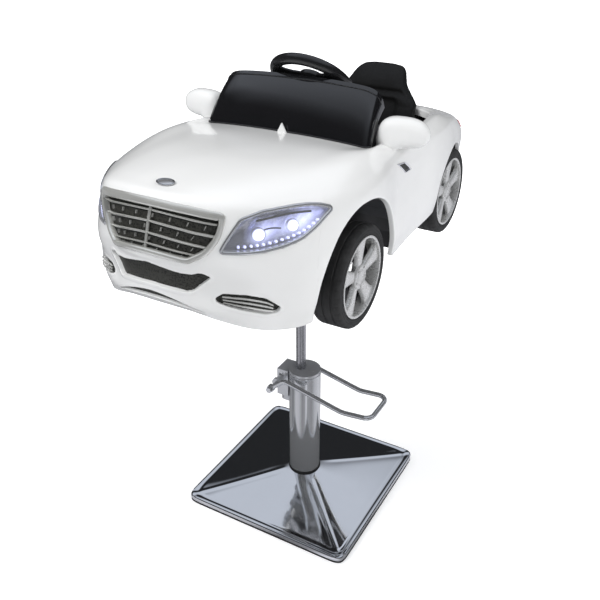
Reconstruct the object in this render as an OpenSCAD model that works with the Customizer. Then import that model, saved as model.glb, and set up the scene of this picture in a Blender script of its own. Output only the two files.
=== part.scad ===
/* [Car body] */
// Width of the car body over its wheel arches
body_w = 610; // [590:5:640]
// Length of the car body from nose to tail
body_l = 1160; // [1140:5:1190]
// Height of the body from its lowest hem to the crown of the hood
body_h = 300; // [290:2:320]
// Distance of the body's middle ahead of the swivel axis
body_lead = 40; // [30:2:50]
// Wall of the body shell
shell_t = 3; // [2:0.5:4]
// Height of the windscreen panel above the hood, at its middle
screen_h = 116; // [90:1:125]
// Thickness of the windscreen panel
screen_t = 4; // [3:0.5:6]

/* [Wheels and steering] */
// Height of the wheel centres above the floor
wheel_z = 890; // [860:5:960]
// Distance between the front and rear axles
wheel_base = 604; // [596:2:612]
// Distance of the front axle ahead of the swivel axis
front_lead = 237; // [230:1:244]
// Width over the outer faces of the wheels
track_w = 582; // [576:1:588]
// Outer diameter of the tyres
tyre_d = 240; // [220:2:250]
// Width of the tyres
tyre_w = 72; // [64:1:76]
// Diameter of the rims
rim_d = 190; // [170:2:196]
// Number of spokes in each rim
spokes = 5; // [5:1:7]
// Diameter of the axles
axle_d = 12; // [10:1:14]
// Diameter of the steering wheel's rim, at the middle of its grip
steer_d = 190; // [170:2:200]
// Thickness of the steering wheel's grip
grip_d = 26; // [20:1:30]
// Lean of the steering column from upright
steer_lean = 40.5; // [38:0.5:43]

/* [Seat] */
// Width of the seat cushion
seat_w = 290; // [260:5:300]
// Height of the backrest above the seat platform
back_h = 242; // [230:2:260]

/* [Lift pump] */
// Side of the square base
base_w = 526; // [500:2:600]
// Height of the rolled edge of the base cover
base_edge = 14; // [10:1:18]
// Height of the base cover's crown above the floor
base_crown = 50; // [46:1:58]
// Thickness of the steel plate in the base
plate_t = 8; // [6:1:10]
// Outer diameter of the pump sleeve
sleeve_d = 93; // [88:1:98]
// Height of the pump's top above the floor
pump_top = 417; // [400:1:425]
// Diameter of the lifting ram
ram_d = 28.5; // [26:0.5:30]
// Distance of the ram from the middle of the pump
ram_off = 13; // [11:1:15]
// Diameter of the pedal's rod
pedal_d = 14; // [12:1:14]
// Reach of the pedal from the swivel axis to the foot bar
pedal_reach = 252; // [230:2:280]
// Distance between the middles of the pedal's two arms
pedal_gap = 120; // [118:1:130]

/* [Hidden] */
$fn = 72;

// Clearances and small seats shared by all pieces
fit = 0.05;
gap = 0.3;
seat = 0.8;
over = 1;

// The body's own frame
half_w = body_w / 2;
mid_y = -body_lead;
hem_drop = 28;
hem_z = wheel_z - hem_drop;
front_y = -front_lead;
rear_y = wheel_base - front_lead;
rim_face = track_w / 2;

// Feature lines of the body as shares of its half width, half length and height.
// Each row is one line from the nose centre (first) round the left flank to the tail centre (last):
// hem, slit, vent bottom, vent top, grille bottom, belt, shoulder, two crown lines, cockpit edge.
x_shares = [
    [0, .24, .45, .64, .82, .91, .955, .96, .93, .91, .915, .88, .765, .5, 0],
    [0, .23, .41, .64, .85, .94, .985, .98, .945, .925, .94, .9, .785, .51, 0],
    [0, .22, .37, .64, .86, .955, .99, .985, .945, .93, .945, .91, .795, .52, 0],
    [0, .22, .41, .65, .86, .96, .995, .99, .94, .925, .95, .915, .805, .52, 0],
    [0, .18, .34, .62, .85, .955, .995, .985, .935, .92, .95, .915, .805, .52, 0],
    [0, .25, .47, .67, .83, .93, .975, .965, .93, .92, .94, .9, .785, .51, 0],
    [0, .24, .46, .64, .78, .87, .905, .9, .895, .895, .91, .86, .745, .48, 0],
    [0, .22, .43, .6, .73, .81, .84, .84, .85, .86, .865, .8, .675, .46, 0],
    [0, .2, .4, .58, .71, .77, .79, .79, .805, .82, .82, .77, .655, .43, 0],
    [0, .18, .38, .57, .69, .735, .75, .755, .765, .785, .78, .72, .615, .4, 0]];
y_shares = [
    [-.965, -.95, -.91, -.83, -.72, -.58, -.40, -.21, -.02, .21, .45, .68, .94, 1.00, 1.015],
    [-.99, -.98, -.94, -.855, -.735, -.585, -.40, -.21, -.02, .21, .45, .69, .955, 1.015, 1.03],
    [-1, -.985, -.94, -.85, -.73, -.58, -.40, -.21, -.02, .21, .45, .70, .965, 1.03, 1.045],
    [-1, -.985, -.94, -.86, -.73, -.58, -.40, -.21, -.02, .21, .45, .70, .97, 1.03, 1.045],
    [-1.01, -1, -.96, -.86, -.72, -.57, -.40, -.21, -.02, .21, .45, .70, .97, 1.03, 1.045],
    [-.95, -.94, -.90, -.79, -.66, -.53, -.38, -.21, -.02, .21, .45, .69, .95, 1.015, 1.03],
    [-.87, -.86, -.82, -.71, -.58, -.47, -.35, -.20, -.02, .21, .44, .67, .91, .98, .995],
    [-.61, -.60, -.57, -.51, -.42, -.34, -.26, -.15, -.01, .20, .43, .65, .86, .93, .945],
    [-.33, -.33, -.31, -.28, -.23, -.19, -.14, -.08, .02, .19, .41, .63, .81, .885, .895],
    [-.085, -.085, -.085, -.083, -.08, -.055, -.02, .02, .07, .18, .39, .61, .77, .85, .86]];
z_shares = [
    [.19, .17, .11, .03, 0, .01, .02, .02, .02, .03, .05, .06, .08, .1, .1],
    [.25, .24, .21, .18, .16, .16, .16, .16, .16, .17, .18, .19, .21, .22, .22],
    [.37, .36, .32, .31, .3, .29, .29, .29, .3, .3, .31, .32, .33, .34, .34],
    [.5, .5, .49, .45, .42, .41, .42, .43, .43, .43, .44, .45, .46, .46, .46],
    [.61, .61, .61, .58, .56, .56, .57, .58, .58, .57, .57, .57, .55, .55, .55],
    [.9, .89, .86, .81, .79, .77, .76, .75, .72, .7, .69, .68, .635, .635, .635],
    [.96, .96, .94, .91, .885, .87, .86, .855, .83, .81, .8, .78, .715, .715, .715],
    [1, .995, .985, .965, .95, .935, .92, .91, .88, .865, .85, .83, .75, .75, .75],
    [.97, .97, .965, .955, .95, .94, .93, .92, .895, .88, .865, .845, .775, .77, .77],
    [.92, .92, .915, .905, .895, .895, .895, .895, .885, .875, .86, .84, .785, .77, .77]];
tail_col = len(x_shares[0]) - 1;
ring_cols = 2 * tail_col;
top_row = len(x_shares) - 1;
half_l = body_l / (max([for (r = y_shares) r[tail_col]]) - min([for (r = y_shares) r[0]]));

// One knot of the body, with the columns running on round the right flank
function knot(r, c) = let (k = (c + ring_cols) % ring_cols, j = k <= tail_col ? k : ring_cols - k,
    side = k <= tail_col ? 1 : -1)
    [side * half_w * x_shares[r][j], mid_y + half_l * y_shares[r][j], hem_z + body_h * z_shares[r][j]];
KNOTS = [for (r = [0:top_row]) [for (c = [0:ring_cols - 1]) knot(r, c)]];
function row_knot(r, c) = let (k = (c + ring_cols) % ring_cols)
    r < 0 ? 2 * KNOTS[0][k] - KNOTS[1][k]
    : r > top_row ? 2 * KNOTS[top_row][k] - KNOTS[top_row - 1][k] : KNOTS[r][k];
function blend(a, b, c, d, t) =
    (2 * b + (c - a) * t + (2 * a - 5 * b + 4 * c - d) * t * t + (3 * b - a - 3 * c + d) * t * t * t) / 2;
function row_at(r, iu, fu) =
    blend(row_knot(r, iu - 1), row_knot(r, iu), row_knot(r, iu + 1), row_knot(r, iu + 2), fu);

// A point of the body's outer surface: u runs round it by columns, v up it by rows
function surf(u, v) = let (iu = floor(u), fu = u - iu, iv = min(max(floor(v), 0), top_row - 1))
    blend(row_at(iv - 1, iu, fu), row_at(iv, iu, fu), row_at(iv + 1, iu, fu), row_at(iv + 2, iu, fu),
        v - iv);
nudge = 0.02;
function outward(u, v) = let (along = surf(u + nudge, v) - surf(u - nudge, v),
    up = surf(u, min(v + nudge, top_row)) - surf(u, max(v - nudge, 0)), n = cross(along, up)) n / norm(n);
function skin(u, v, off) = surf(u, v) + off * outward(u, v);
function span(a, b, n) = [for (i = [0:n]) a + (b - a) * i / n];

// The wheel arches: half an ellipse over each axle, drawn out towards the front
arch_rise = 188;
arch_ahead = 162;
arch_behind = 206;
arch_lead = 25;
rear_arch_r = 140;
function arch_top(rear) = rear ? rear_y : front_y - arch_lead;
function arch_y(rear, t) = arch_top(rear) - (rear ? rear_arch_r : t < 90 ? arch_ahead : arch_behind) * cos(t);
function arch_z(rear, t) = wheel_z + (rear ? rear_arch_r : arch_rise) * sin(t);
function u_at(y, v, lo, hi, n = 16) = let (m = (lo + hi) / 2)
    n == 0 ? m : surf(m, v)[1] < y ? u_at(y, v, m, hi, n - 1) : u_at(y, v, lo, m, n - 1);
function v_at(u, z, lo, hi, n = 16) = let (m = (lo + hi) / 2)
    n == 0 ? m : surf(u, m)[2] < z ? v_at(u, z, m, hi, n - 1) : v_at(u, z, lo, m, n - 1);
function arch_knot(rear, t) = let (y = arch_y(rear, t), z = arch_z(rear, t), belt = 6,
    v1 = v_at(u_at(y, 1, 1, tail_col - 1), z, 0, belt), u2 = u_at(y, v1, 1, tail_col - 1),
    v2 = v_at(u2, z, 0, belt), u3 = u_at(y, v2, 1, tail_col - 1)) [u3, v_at(u3, z, 0, belt)];
arch_turn = 12;
FRONT_ARCH = [for (t = [0:arch_turn:180]) arch_knot(false, t)];
REAR_ARCH = [for (t = [0:arch_turn:180]) arch_knot(true, t)];
foot = 0.004;
last = len(FRONT_ARCH) - 1;

// Columns of the shell from nose to tail, each with the row where it starts
nose_cols = [for (u = span(0, FRONT_ARCH[0][0] - foot, 11)) [u, 0]];
flank_cols = [for (u = span(FRONT_ARCH[last][0] + foot, REAR_ARCH[0][0] - foot, 5)) [u, 0]];
tail_cols = [for (u = span(REAR_ARCH[last][0] + foot, tail_col, 5)) [u, 0]];
left_cols = concat(nose_cols, FRONT_ARCH, flank_cols, REAR_ARCH, tail_cols);
right_cols = [for (i = [len(left_cols) - 2:-1:1]) [ring_cols - left_cols[i][0], left_cols[i][1]]];
shell_cols = concat(left_cols, right_cols);
shell_row_shares = [0, .6, 1.3, 2, 2.8, 3.6, 4.3, 5, 5.6, 6.2, 7, 8, 9];

// A closed sheet between two grids of points, open or joined up along its first direction
module sheet(outer, inner, ring = false) {
    nu = len(outer);
    nv = len(outer[0]);
    base = nu * nv;
    steps = ring ? nu : nu - 1;
    function at(k, i) = (k % nu) * nv + i;
    skins = [for (k = [0:steps - 1], i = [0:nv - 2]) let (a = at(k, i), b = at(k + 1, i),
        c = at(k + 1, i + 1), d = at(k, i + 1)) each [[a, d, c], [a, c, b],
        [base + a, base + c, base + d], [base + a, base + b, base + c]]];
    edges = [for (k = [0:steps - 1]) let (a = at(k, 0), b = at(k + 1, 0), d = at(k, nv - 1),
        c = at(k + 1, nv - 1)) each [[a, b, base + b], [a, base + b, base + a],
        [c, d, base + d], [c, base + d, base + c]]];
    ends = ring ? [] : [for (i = [0:nv - 2]) let (a = at(0, i), d = at(0, i + 1), b = at(nu - 1, i),
        c = at(nu - 1, i + 1)) each [[d, a, base + a], [d, base + a, base + d],
        [b, c, base + c], [b, base + c, base + b]]];
    polyhedron(concat([for (p = outer) each p], [for (p = inner) each p]), concat(skins, edges, ends));
}
// A plate that follows the body between two offsets, over a grid of surface places
module plate(places, low, high) {
    sheet([for (p = places) [for (q = p) skin(q[0], q[1], high)]],
        [for (p = places) [for (q = p) skin(q[0], q[1], low)]]);
}
// A solid through rings of points, closed by fans at both ends
module loft(rings) {
    n = len(rings[0]);
    m = len(rings);
    sides = [for (k = [0:m - 2], i = [0:n - 1]) let (j = (i + 1) % n, a = k * n + i, b = k * n + j,
        c = a + n, d = b + n) each [[a, d, b], [a, c, d]]];
    near = [for (i = [1:n - 2]) [0, i, i + 1]];
    far = [for (i = [1:n - 2]) [(m - 1) * n, (m - 1) * n + i + 1, (m - 1) * n + i]];
    polyhedron([for (r = rings) each r], concat(sides, near, far));
}
// A closed curve between an ellipse and a rectangle: the power is 1 for an ellipse, less is boxier
function round_pt(a, t, p) = [sign(cos(t)) * a[0] * pow(abs(cos(t)), p),
    sign(sin(t)) * a[1] * pow(abs(sin(t)), p)];
module pair() {
    children();
    mirror([1, 0, 0]) children();
}
// A bent rod of round section through points that never run straight up
function unit(v) = v / norm(v);
module rod(points, r, sides = 16) {
    m = len(points) - 1;
    loft([for (i = [0:m]) let (t = unit(points[min(i + 1, m)] - points[max(i - 1, 0)]),
        s = unit(cross([0, 0, 1], t)), q = cross(t, s))
        [for (k = [0:sides - 1]) points[i] + r * (cos(360 * k / sides) * s + sin(360 * k / sides) * q)]]);
}
module box(low, high) { translate(low) cube(high - low); }

// Base and pump
sleeve_r = sleeve_d / 2;
ram_r = ram_d / 2;
gasket_h = 6;
gasket_rim = 12;
gasket_w = base_w - 4;
plate_w = gasket_w - 2 * gasket_rim - 2 * gap;
cover_t = 2.5;
crown_ledge = 14;
crown_w = 2 * (sleeve_r + crown_ledge);
sleeve_t = 2.5;
cap_t = 8;
collar_w = 9;
collar_h = 12;
socket_drop = 148;
frame_h = 28;
pan_t = 6;
pan_z = hem_z + 4;
frame_z = pan_z - frame_h;
flange_t = 8;
flange_w = 190;
flange_z = frame_z - flange_t;
socket_z = flange_z - socket_drop + flange_t;
socket_r = 30;
washer_t = 3;
ram_inset = 60;
ram_end = flange_z - ram_inset;
lift_up = 20;
lift_down = 180;
ram_below = 440;
ram_low = socket_z - ram_below;
bore_spare = 8;
bore_low = ram_low - lift_down - bore_spare;

module ring(r_out, r_in, h) {
    difference() {
        cylinder(r = r_out, h = h);
        translate([0, 0, -over]) cylinder(r = r_in, h = h + 2 * over);
    }
}
module square_ring(w_out, w_in, h) {
    linear_extrude(h) difference() {
        square(w_out, center = true);
        square(w_in, center = true);
    }
}
module floor_gasket() {
    color([0.06, 0.06, 0.06]) translate([ram_off, 0, 0])
        square_ring(gasket_w, gasket_w - 2 * gasket_rim, gasket_h);
}
module base_plate() {
    color([0.3, 0.3, 0.31]) translate([ram_off - plate_w / 2, -plate_w / 2, 0])
        cube([plate_w, plate_w, plate_t]);
}
module pyramid(w, drop) {
    translate([0, 0, base_edge + gasket_h - drop])
        linear_extrude(base_crown - base_edge - gasket_h, scale = crown_w / w) square(w, center = true);
}
module base_cover() {
    color([0.86, 0.87, 0.88]) translate([ram_off, 0, 0]) {
        translate([0, 0, gasket_h]) square_ring(base_w, base_w - 2 * cover_t, base_edge);
        difference() {
            pyramid(base_w, 0);
            pyramid(base_w - 2 * cover_t, cover_t);
            cylinder(r = sleeve_r + gap, h = base_crown + over);
        }
    }
}
module column_collar() {
    color([0.05, 0.05, 0.05]) translate([ram_off, 0, base_crown + fit])
        ring(sleeve_r + collar_w, sleeve_r + fit, collar_h);
}
module pump_sleeve() {
    color([0.85, 0.86, 0.87]) translate([ram_off, 0, plate_t])
        ring(sleeve_r, sleeve_r - sleeve_t, pump_top - cap_t - plate_t);
}
reservoir_r = sleeve_r - sleeve_t - gap;
pump_wall = 3.7;
pump_floor = 12;
guide_r = 20;
module pump_body() {
    inner_h = pump_top - cap_t - plate_t;
    color([0.6, 0.61, 0.63]) difference() {
        union() {
            translate([ram_off, 0, plate_t]) {
                ring(reservoir_r, reservoir_r - pump_wall, inner_h);
                cylinder(r = reservoir_r, h = pump_floor);
                translate([0, 0, inner_h - cap_t]) cylinder(r = reservoir_r, h = cap_t);
                translate([0, 0, inner_h]) cylinder(r = sleeve_r, h = cap_t);
            }
            translate([0, 0, plate_t]) cylinder(r = guide_r, h = inner_h);
        }
        translate([0, 0, bore_low]) cylinder(r = ram_r + fit, h = pump_top - bore_low + over);
    }
}
module lift_ram() {
    color([0.75, 0.76, 0.77]) translate([0, 0, ram_low]) cylinder(r = ram_r, h = ram_end - ram_low);
}
module thrust_washer() {
    color([0.7, 0.6, 0.3]) translate([0, 0, ram_end]) cylinder(r = ram_r - gap, h = washer_t);
}

// Pump pedal: its pin lies across, behind the pump, and a finger works the plunger
pin_x = -68;
pin_drop = 62;
pin_z = pump_top - pin_drop;
pin_r = 5;
lug_in = 20;
lug_t = 10;
lug_r = 14;
bracket_bite = 6;
bracket_x = ram_off - sleeve_r + bracket_bite;
bracket_back = -64;
bracket_drop = 82;
bracket_low = pump_top - bracket_drop;
bracket_high = pump_top - cap_t;
plunger_x = -50;
plunger_r = 5;
plunger_drop = 117;
plunger_low = pump_top - plunger_drop;
plunger_l = 45;
plunger_top = plunger_low + plunger_l;
head_r = 9;
head_t = 4;
barrel_r = 14;
barrel_low = plunger_low - cap_t;
barrel_l = 36;
barrel_top = barrel_low + barrel_l;
slot_w = 14;
slot_h = 7;
slot_depth = 4;
module pump_bracket() {
    wide = lug_in + lug_t;
    color([0.82, 0.83, 0.85]) difference() {
        union() {
            box([bracket_back, -wide, bracket_low], [bracket_x, wide, bracket_high]);
            for (y = [-wide, lug_in]) {
                translate([pin_x, y, pin_z]) rotate([-90, 0, 0]) cylinder(r = lug_r, h = lug_t);
                box([pin_x, y, pin_z - lug_r], [bracket_back + over, y + lug_t, pin_z + lug_r]);
            }
            translate([plunger_x, 0, barrel_low]) cylinder(r = barrel_r, h = barrel_top - barrel_low);
            box([plunger_x, -barrel_r, barrel_low], [bracket_x, barrel_r, barrel_top]);
            box([bracket_back, -wide, barrel_top - plate_t], [bracket_x, -lug_in, bracket_low + over]);
            box([bracket_back, lug_in, barrel_top - plate_t], [bracket_x, wide, bracket_low + over]);
            box([plunger_x + barrel_r, -wide, barrel_top - plate_t], [bracket_x, wide, barrel_top]);
        }
        box([bracket_back - over, -lug_in, barrel_top], [bracket_x - over - 2 * sleeve_t, lug_in,
            pin_z + lug_r]);
        translate([ram_off, 0, 0]) cylinder(r = sleeve_r, h = pump_top);
        translate([pin_x, -pump_top, pin_z]) rotate([-90, 0, 0]) cylinder(r = pin_r + fit, h = 2 * pump_top);
        translate([plunger_x, 0, plunger_low - lift_up / 2]) cylinder(r = plunger_r + fit,
            h = pin_z - plunger_low);
        box([plunger_x - slot_w / 2, -wide - over, bracket_high - slot_w - slot_h],
            [plunger_x + slot_w / 2, slot_depth - wide, bracket_high - slot_w]);
    }
}
pin_proud = 2;
pin_half = pedal_gap / 2 + pedal_d / 2 + pin_proud;
nut_t = 6;
nut_r = 9;
module pedal_pin() {
    color([0.8, 0.81, 0.83]) {
        translate([pin_x, -pin_half, pin_z]) rotate([-90, 0, 0]) cylinder(r = pin_r, h = 2 * pin_half);
        for (y = [-pin_half - nut_t, pin_half])
            translate([pin_x, y, pin_z]) rotate([-90, 0, 0]) cylinder(r = nut_r, h = nut_t, $fn = 6);
    }
}
hub_r = 11;
finger_r = 4;
finger_drop = 5.7;
pedal_z_shares = [0, .098, -.005, .01];
pedal_x_shares = [-.27, -.087, .647, 1];
pedal_bend = 26;
turn_share = .12;
cut_share = .02;
// One arm of the pedal from its hub to the middle of the foot bar, on the +Y side
function pedal_arm() = let (y = pedal_gap / 2, tip_x = pedal_reach,
    route = [for (k = [0:3]) [k == 0 ? pin_x : pedal_reach * pedal_x_shares[k], y,
        pin_z + pump_top * pedal_z_shares[k]]],
    soft = [for (k = [1:2], t = [turn_share, 0, -turn_share]) let (a = t > 0 ? route[k - 1] : route[k + 1])
        t == 0 ? route[k] + cut_share * (route[k - 1] + route[k + 1] - 2 * route[k]) : route[k]
            + abs(t) * (a - route[k])],
    turn = [for (a = [0:18:90]) [tip_x - pedal_bend + pedal_bend * sin(a),
        y - pedal_bend + pedal_bend * cos(a), route[3][2]]])
    concat([route[0]], soft, turn);
module pump_pedal() {
    arm = pedal_arm();
    color([0.84, 0.85, 0.87]) difference() {
        union() {
            rod(concat(arm, [for (i = [len(arm) - 1:-1:0]) [arm[i][0], -arm[i][1], arm[i][2]]]), pedal_d / 2);
            for (y = [-1, 1]) translate([pin_x, y * pedal_gap / 2 - pedal_d / 2, pin_z]) rotate([-90, 0, 0])
                cylinder(r = hub_r, h = pedal_d);
            translate([pin_x, gap - lug_in, pin_z]) rotate([-90, 0, 0]) cylinder(r = hub_r,
                h = 2 * (lug_in - gap));
            translate([0, finger_r, 0]) rotate([90, 0, 0]) linear_extrude(2 * finger_r)
                polygon([[pin_x, pin_z - finger_r - over], [plunger_x,
                    pin_z - finger_drop - finger_r + over / 2],
                    [plunger_x, pin_z - finger_drop + finger_r - over / 2], [pin_x, pin_z + finger_r]]);
            translate([plunger_x, -finger_r, pin_z - finger_drop]) rotate([-90, 0, 0])
                cylinder(r = finger_r, h = 2 * finger_r);
        }
        translate([pin_x, -pin_half, pin_z]) rotate([-90, 0, 0]) cylinder(r = pin_r, h = 2 * pin_half);
    }
}
module pump_plunger() {
    color([0.7, 0.71, 0.73]) translate([plunger_x, 0, 0]) {
        translate([0, 0, plunger_low]) cylinder(r = plunger_r, h = plunger_top - plunger_low);
        translate([0, 0, plunger_top - head_t]) cylinder(r = head_r, h = head_t);
    }
}
spring_r = 8;
wire_t = 1.6;
module plunger_spring() {
    color([0.5, 0.5, 0.52]) translate([plunger_x, 0, barrel_top])
        ring(spring_r, spring_r - wire_t, plunger_top - head_t - barrel_top);
}

// Swivel socket on the ram, and the frame that carries the car
module swivel_socket() {
    color([0.12, 0.12, 0.13]) difference() {
        union() {
            translate([0, 0, socket_z]) cylinder(r = socket_r, h = flange_z - socket_z);
            translate([-flange_w / 2, -flange_w / 2, flange_z]) cube([flange_w, flange_w, flange_t]);
            for (a = [0:90:270]) rotate(a) translate([socket_r - over, -flange_t / 2, flange_z - socket_r])
                cube([socket_r, flange_t, socket_r + over]);
        }
        translate([0, 0, socket_z - over]) cylinder(r = ram_r + fit,
            h = ram_end + washer_t + gap - socket_z + over);
        bolt_holes(flange_z, flange_t);
    }
}
bolt_at = 80;
bolt_r = 5;
bolt_head_r = 9;
bolt_head_t = 7;
module bolt_spots() { for (x = [-bolt_at, bolt_at], y = [-bolt_at, bolt_at]) translate([x, y,
    0]) children(); }
module bolt_holes(z, h) {
    bolt_spots() translate([0, 0, z - over]) cylinder(r = bolt_r + fit, h = h + 2 * over);
}
rail_w = 40;
rail_l = 700;
rail_ahead = 330;
rail_wall = 3;
cross_w = 30;
module seat_frame() {
    color([0.1, 0.1, 0.11]) difference() {
        union() {
            for (x = [-bolt_at, bolt_at]) difference() {
                translate([x - rail_w / 2, -rail_ahead, frame_z]) cube([rail_w, rail_l, frame_h]);
                translate([x - rail_w / 2 + rail_wall, -rail_ahead - over, frame_z + rail_wall])
                    cube([rail_w - 2 * rail_wall, rail_l + 2 * over, frame_h - 2 * rail_wall]);
            }
            for (y = [-rail_ahead + cross_w, rail_l - rail_ahead - 2 * cross_w])
                translate([rail_w / 2 - bolt_at - over, y, frame_z])
                    cube([2 * bolt_at - rail_w + 2 * over, cross_w, frame_h]);
        }
        bolt_holes(frame_z, frame_h);
    }
}
module frame_bolts() {
    color([0.65, 0.66, 0.68]) bolt_spots() {
        translate([0, 0, flange_z - bolt_head_t]) cylinder(r = bolt_head_r, h = bolt_head_t, $fn = 6);
        translate([0, 0, flange_z - over]) cylinder(r = bolt_r, h = pan_z + pan_t - flange_z + over);
        translate([0, 0, pan_z + pan_t]) cylinder(r = bolt_head_r, h = bolt_head_t, $fn = 6);
    }
}

// Floor tub: belly pan, foot floor, seat box and the walls of the cockpit
tub_t = 5;
wheel_in = rim_face - tyre_w;
rear_inset = 16;
spine_clear = 61;
spine_w = wheel_in - spine_clear;
pan_front_share = .6909;
pan_front = mid_y - half_l * pan_front_share;
foot_clear = 3;
foot_z = pan_z + pan_t + bolt_head_t + foot_clear;
beam_to_well = 187;
well_front = front_y + beam_to_well;
well_to_axle = 175;
well_back = rear_y - well_to_axle;
sill_w = 77;
well_w = half_w - sill_w;
rail_top = 1116;
rail_back_top = 1098;
rail_stop = 45;
seat_ahead = 42;
seat_front = well_back - seat_ahead;
tub_back_share = .8663;
tub_back = mid_y + half_l * tub_back_share;
platform_z = 955;
box_top = 1064;
firewall_top = 1086;
back_top = 1074;
foot_us = span(u_at(well_front, 0, 7, 9), u_at(well_back, 0, 9, 11), 5);
foot_edge = [for (u = foot_us) let (p = skin(u, v_at(u, foot_z + tub_t / 2, 0, 3),
    seat - shell_t)) [p[0], p[1]]];
// A wall of the tub on one side: from a to b across, between two corners along and up
module side_wall(side, a, b, low, high) {
    box([side > 0 ? a : -b, low[0], low[1]], [side > 0 ? b : -a, high[0], high[1]]);
}
module floor_tub() {
    in_w = spine_w - tub_t;
    out_w = well_w - tub_t;
    cross_y = well_back - tub_t;
    color([0.07, 0.07, 0.075]) difference() {
        union() {
            box([-spine_w, pan_front, pan_z], [spine_w, tub_back, pan_z + pan_t]);
            translate([0, 0, foot_z]) linear_extrude(tub_t)
                polygon(concat(foot_edge, [for (i = [len(foot_edge) - 1:-1:0]) [-foot_edge[i][0],
                    foot_edge[i][1]]]));
            box([-well_w, well_front, pan_z], [well_w, well_front + tub_t, firewall_top]);
            box([-spine_w, seat_front, pan_z], [spine_w, seat_front + tub_t, platform_z]);
            box([-spine_w, seat_front, platform_z - tub_t], [spine_w, tub_back, platform_z]);
            box([-spine_w, tub_back - tub_t, pan_z], [spine_w, tub_back, back_top]);
            for (side = [-1, 1]) {
                side_wall(side, in_w, spine_w, [seat_front, pan_z], [cross_y, platform_z]);
                side_wall(side, out_w, well_w, [well_front, foot_z], [well_back, rail_top]);
                side_wall(side, in_w, well_w, [cross_y, foot_z], [well_back, box_top]);
                side_wall(side, in_w, spine_w, [cross_y, pan_z], [tub_back, box_top]);
                side_wall(side, in_w, well_w, [cross_y, box_top - tub_t], [rear_y, box_top]);
                side_wall(side, out_w, well_w, [cross_y, box_top - tub_t], [rear_y - rail_stop,
                    rail_back_top]);
            }
        }
        bolt_holes(pan_z, pan_t);
        translate([-half_w, rear_y, wheel_z]) rotate([0, 90, 0]) cylinder(r = axle_d / 2 + fit, h = body_w);
    }
}

// Body shell, and the liners of its wheel arches
function shell_at(c, r, off) = skin(c[0], c[1] + r * (top_row - c[1]) / top_row, off);
module body_shell() {
    color([0.93, 0.93, 0.92]) sheet([for (c = shell_cols) [for (r = shell_row_shares) shell_at(c, r, 0)]],
        [for (c = shell_cols) [for (r = shell_row_shares) shell_at(c, r, -shell_t)]], ring = true);
}
liner_t = 3;
liner_in = spine_w + gap;
liner_clear = 2.4;
liner_low = pan_z;
// The arch as points along and up, moved outwards
function arch_path(rear, off) = [for (t = [0:arch_turn:180])
    [arch_y(rear, t) - off * cos(t), arch_z(rear, t) + off * sin(t)]];
function arch_edge(rear) = [for (k = rear ? REAR_ARCH : FRONT_ARCH) let (n = outward(k[0], k[1]))
    surf(k[0], k[1])[0] - (shell_t + liner_clear + 2 * liner_t * abs(n[1])) / n[0]];
module arch_liner(rear) {
    path = arch_path(rear, 0);
    over_path = arch_path(rear, liner_t);
    mid_path = arch_path(rear, liner_t / 2);
    edge = arch_edge(rear);
    n = len(path);
    start = liner_in + liner_t / 3;
    sheet([for (i = [n - 1:-1:0]) [for (x = [start, edge[i]]) [x, over_path[i][0], over_path[i][1]]]],
        [for (i = [n - 1:-1:0]) [for (x = [start, edge[i]]) [x, path[i][0], path[i][1]]]]);
    translate([liner_in, 0, 0]) rotate([90, 0, 90]) linear_extrude(liner_t)
        polygon(concat([[mid_path[0][0], liner_low]], mid_path, [[mid_path[n - 1][0], liner_low]]));
}
king_inset = 6;
king_x = wheel_in + king_inset;
king_r = 5;
beam_w = 24;
beam_low = pan_z + pan_t + gap;
beam_high = 896;
arm_l = 55;
tie_z = 906;
tie_r = 4;
king_turn = 18;
eye_y = front_y + arm_l;
tie_y = front_y + arm_l * (1 + cos(king_turn)) / 2;
slot_r = 8;
module front_arch_liners() {
    color([0.06, 0.06, 0.065]) pair() difference() {
        arch_liner(false);
        box([liner_in - over, front_y - beam_w / 2 - gap, liner_low - over],
            [liner_in + 2 * liner_t, front_y + beam_w / 2 + gap, beam_high + gap]);
        translate([liner_in - over, tie_y, tie_z]) rotate([0, 90, 0]) cylinder(r = slot_r, h = 2 * liner_t);
    }
}
module rear_arch_liners() {
    color([0.06, 0.06, 0.065]) pair() difference() {
        arch_liner(true);
        translate([liner_in - over, rear_y, wheel_z]) rotate([0, 90, 0]) cylinder(r = axle_d / 2 + gap,
            h = 2 * liner_t);
    }
}

// Grille: a place from side (-1 to 1) and height (0 to 1) in its opening
grille_side_shares = [[3.6, 1.7], [3.75, 1.75], [3.9, 2.05], [4.1, 2.2], [4.45, 2.25], [4.9, 2.05], [5,
    2.02]];
grille_low_share = 3.95;
grille_droop_share = .33;
grille_high_share = 5;
grille_round_share = .22;
function grille_at(a, w) = let (low = grille_low_share - grille_droop_share * a * a,
    v = low + w * (grille_high_share - low)) [a * lookup(v, grille_side_shares), v];
function grille_ring(grow, n = 48) = [for (i = [0:n - 1])
    let (p = round_pt([1 + grow, .5 + grow / 2], 360 * i / n, grille_round_share)) grille_at(p[0],
        p[1] + .5)];
trim_h = 3;
module band(outline, inline, low, high) {
    n = len(outline);
    sheet([for (i = [0:n - 1]) [skin(outline[i][0], outline[i][1], high), skin(inline[i][0],
        inline[i][1], high)]],
        [for (i = [0:n - 1]) [skin(outline[i][0], outline[i][1], low), skin(inline[i][0], inline[i][1],
            low)]],
        ring = true);
}
rim_share = .11;
mesh_edge_share = .02;
bar_edge_share = .03;
module grille_surround() {
    color([0.85, 0.86, 0.88]) band(grille_ring(0), grille_ring(-rim_share), -seat, trim_h);
}
mesh_h = 0.6;
module grille_mesh() {
    edge = 1 - rim_share - mesh_edge_share;
    color([0.03, 0.03, 0.035]) plate([for (a = span(-edge, edge, 16)) [for (w = span(1 - edge, edge,
        5)) grille_at(a, w)]],
        -seat, mesh_h);
}
bars = 4;
bar_share = .035;
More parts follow.
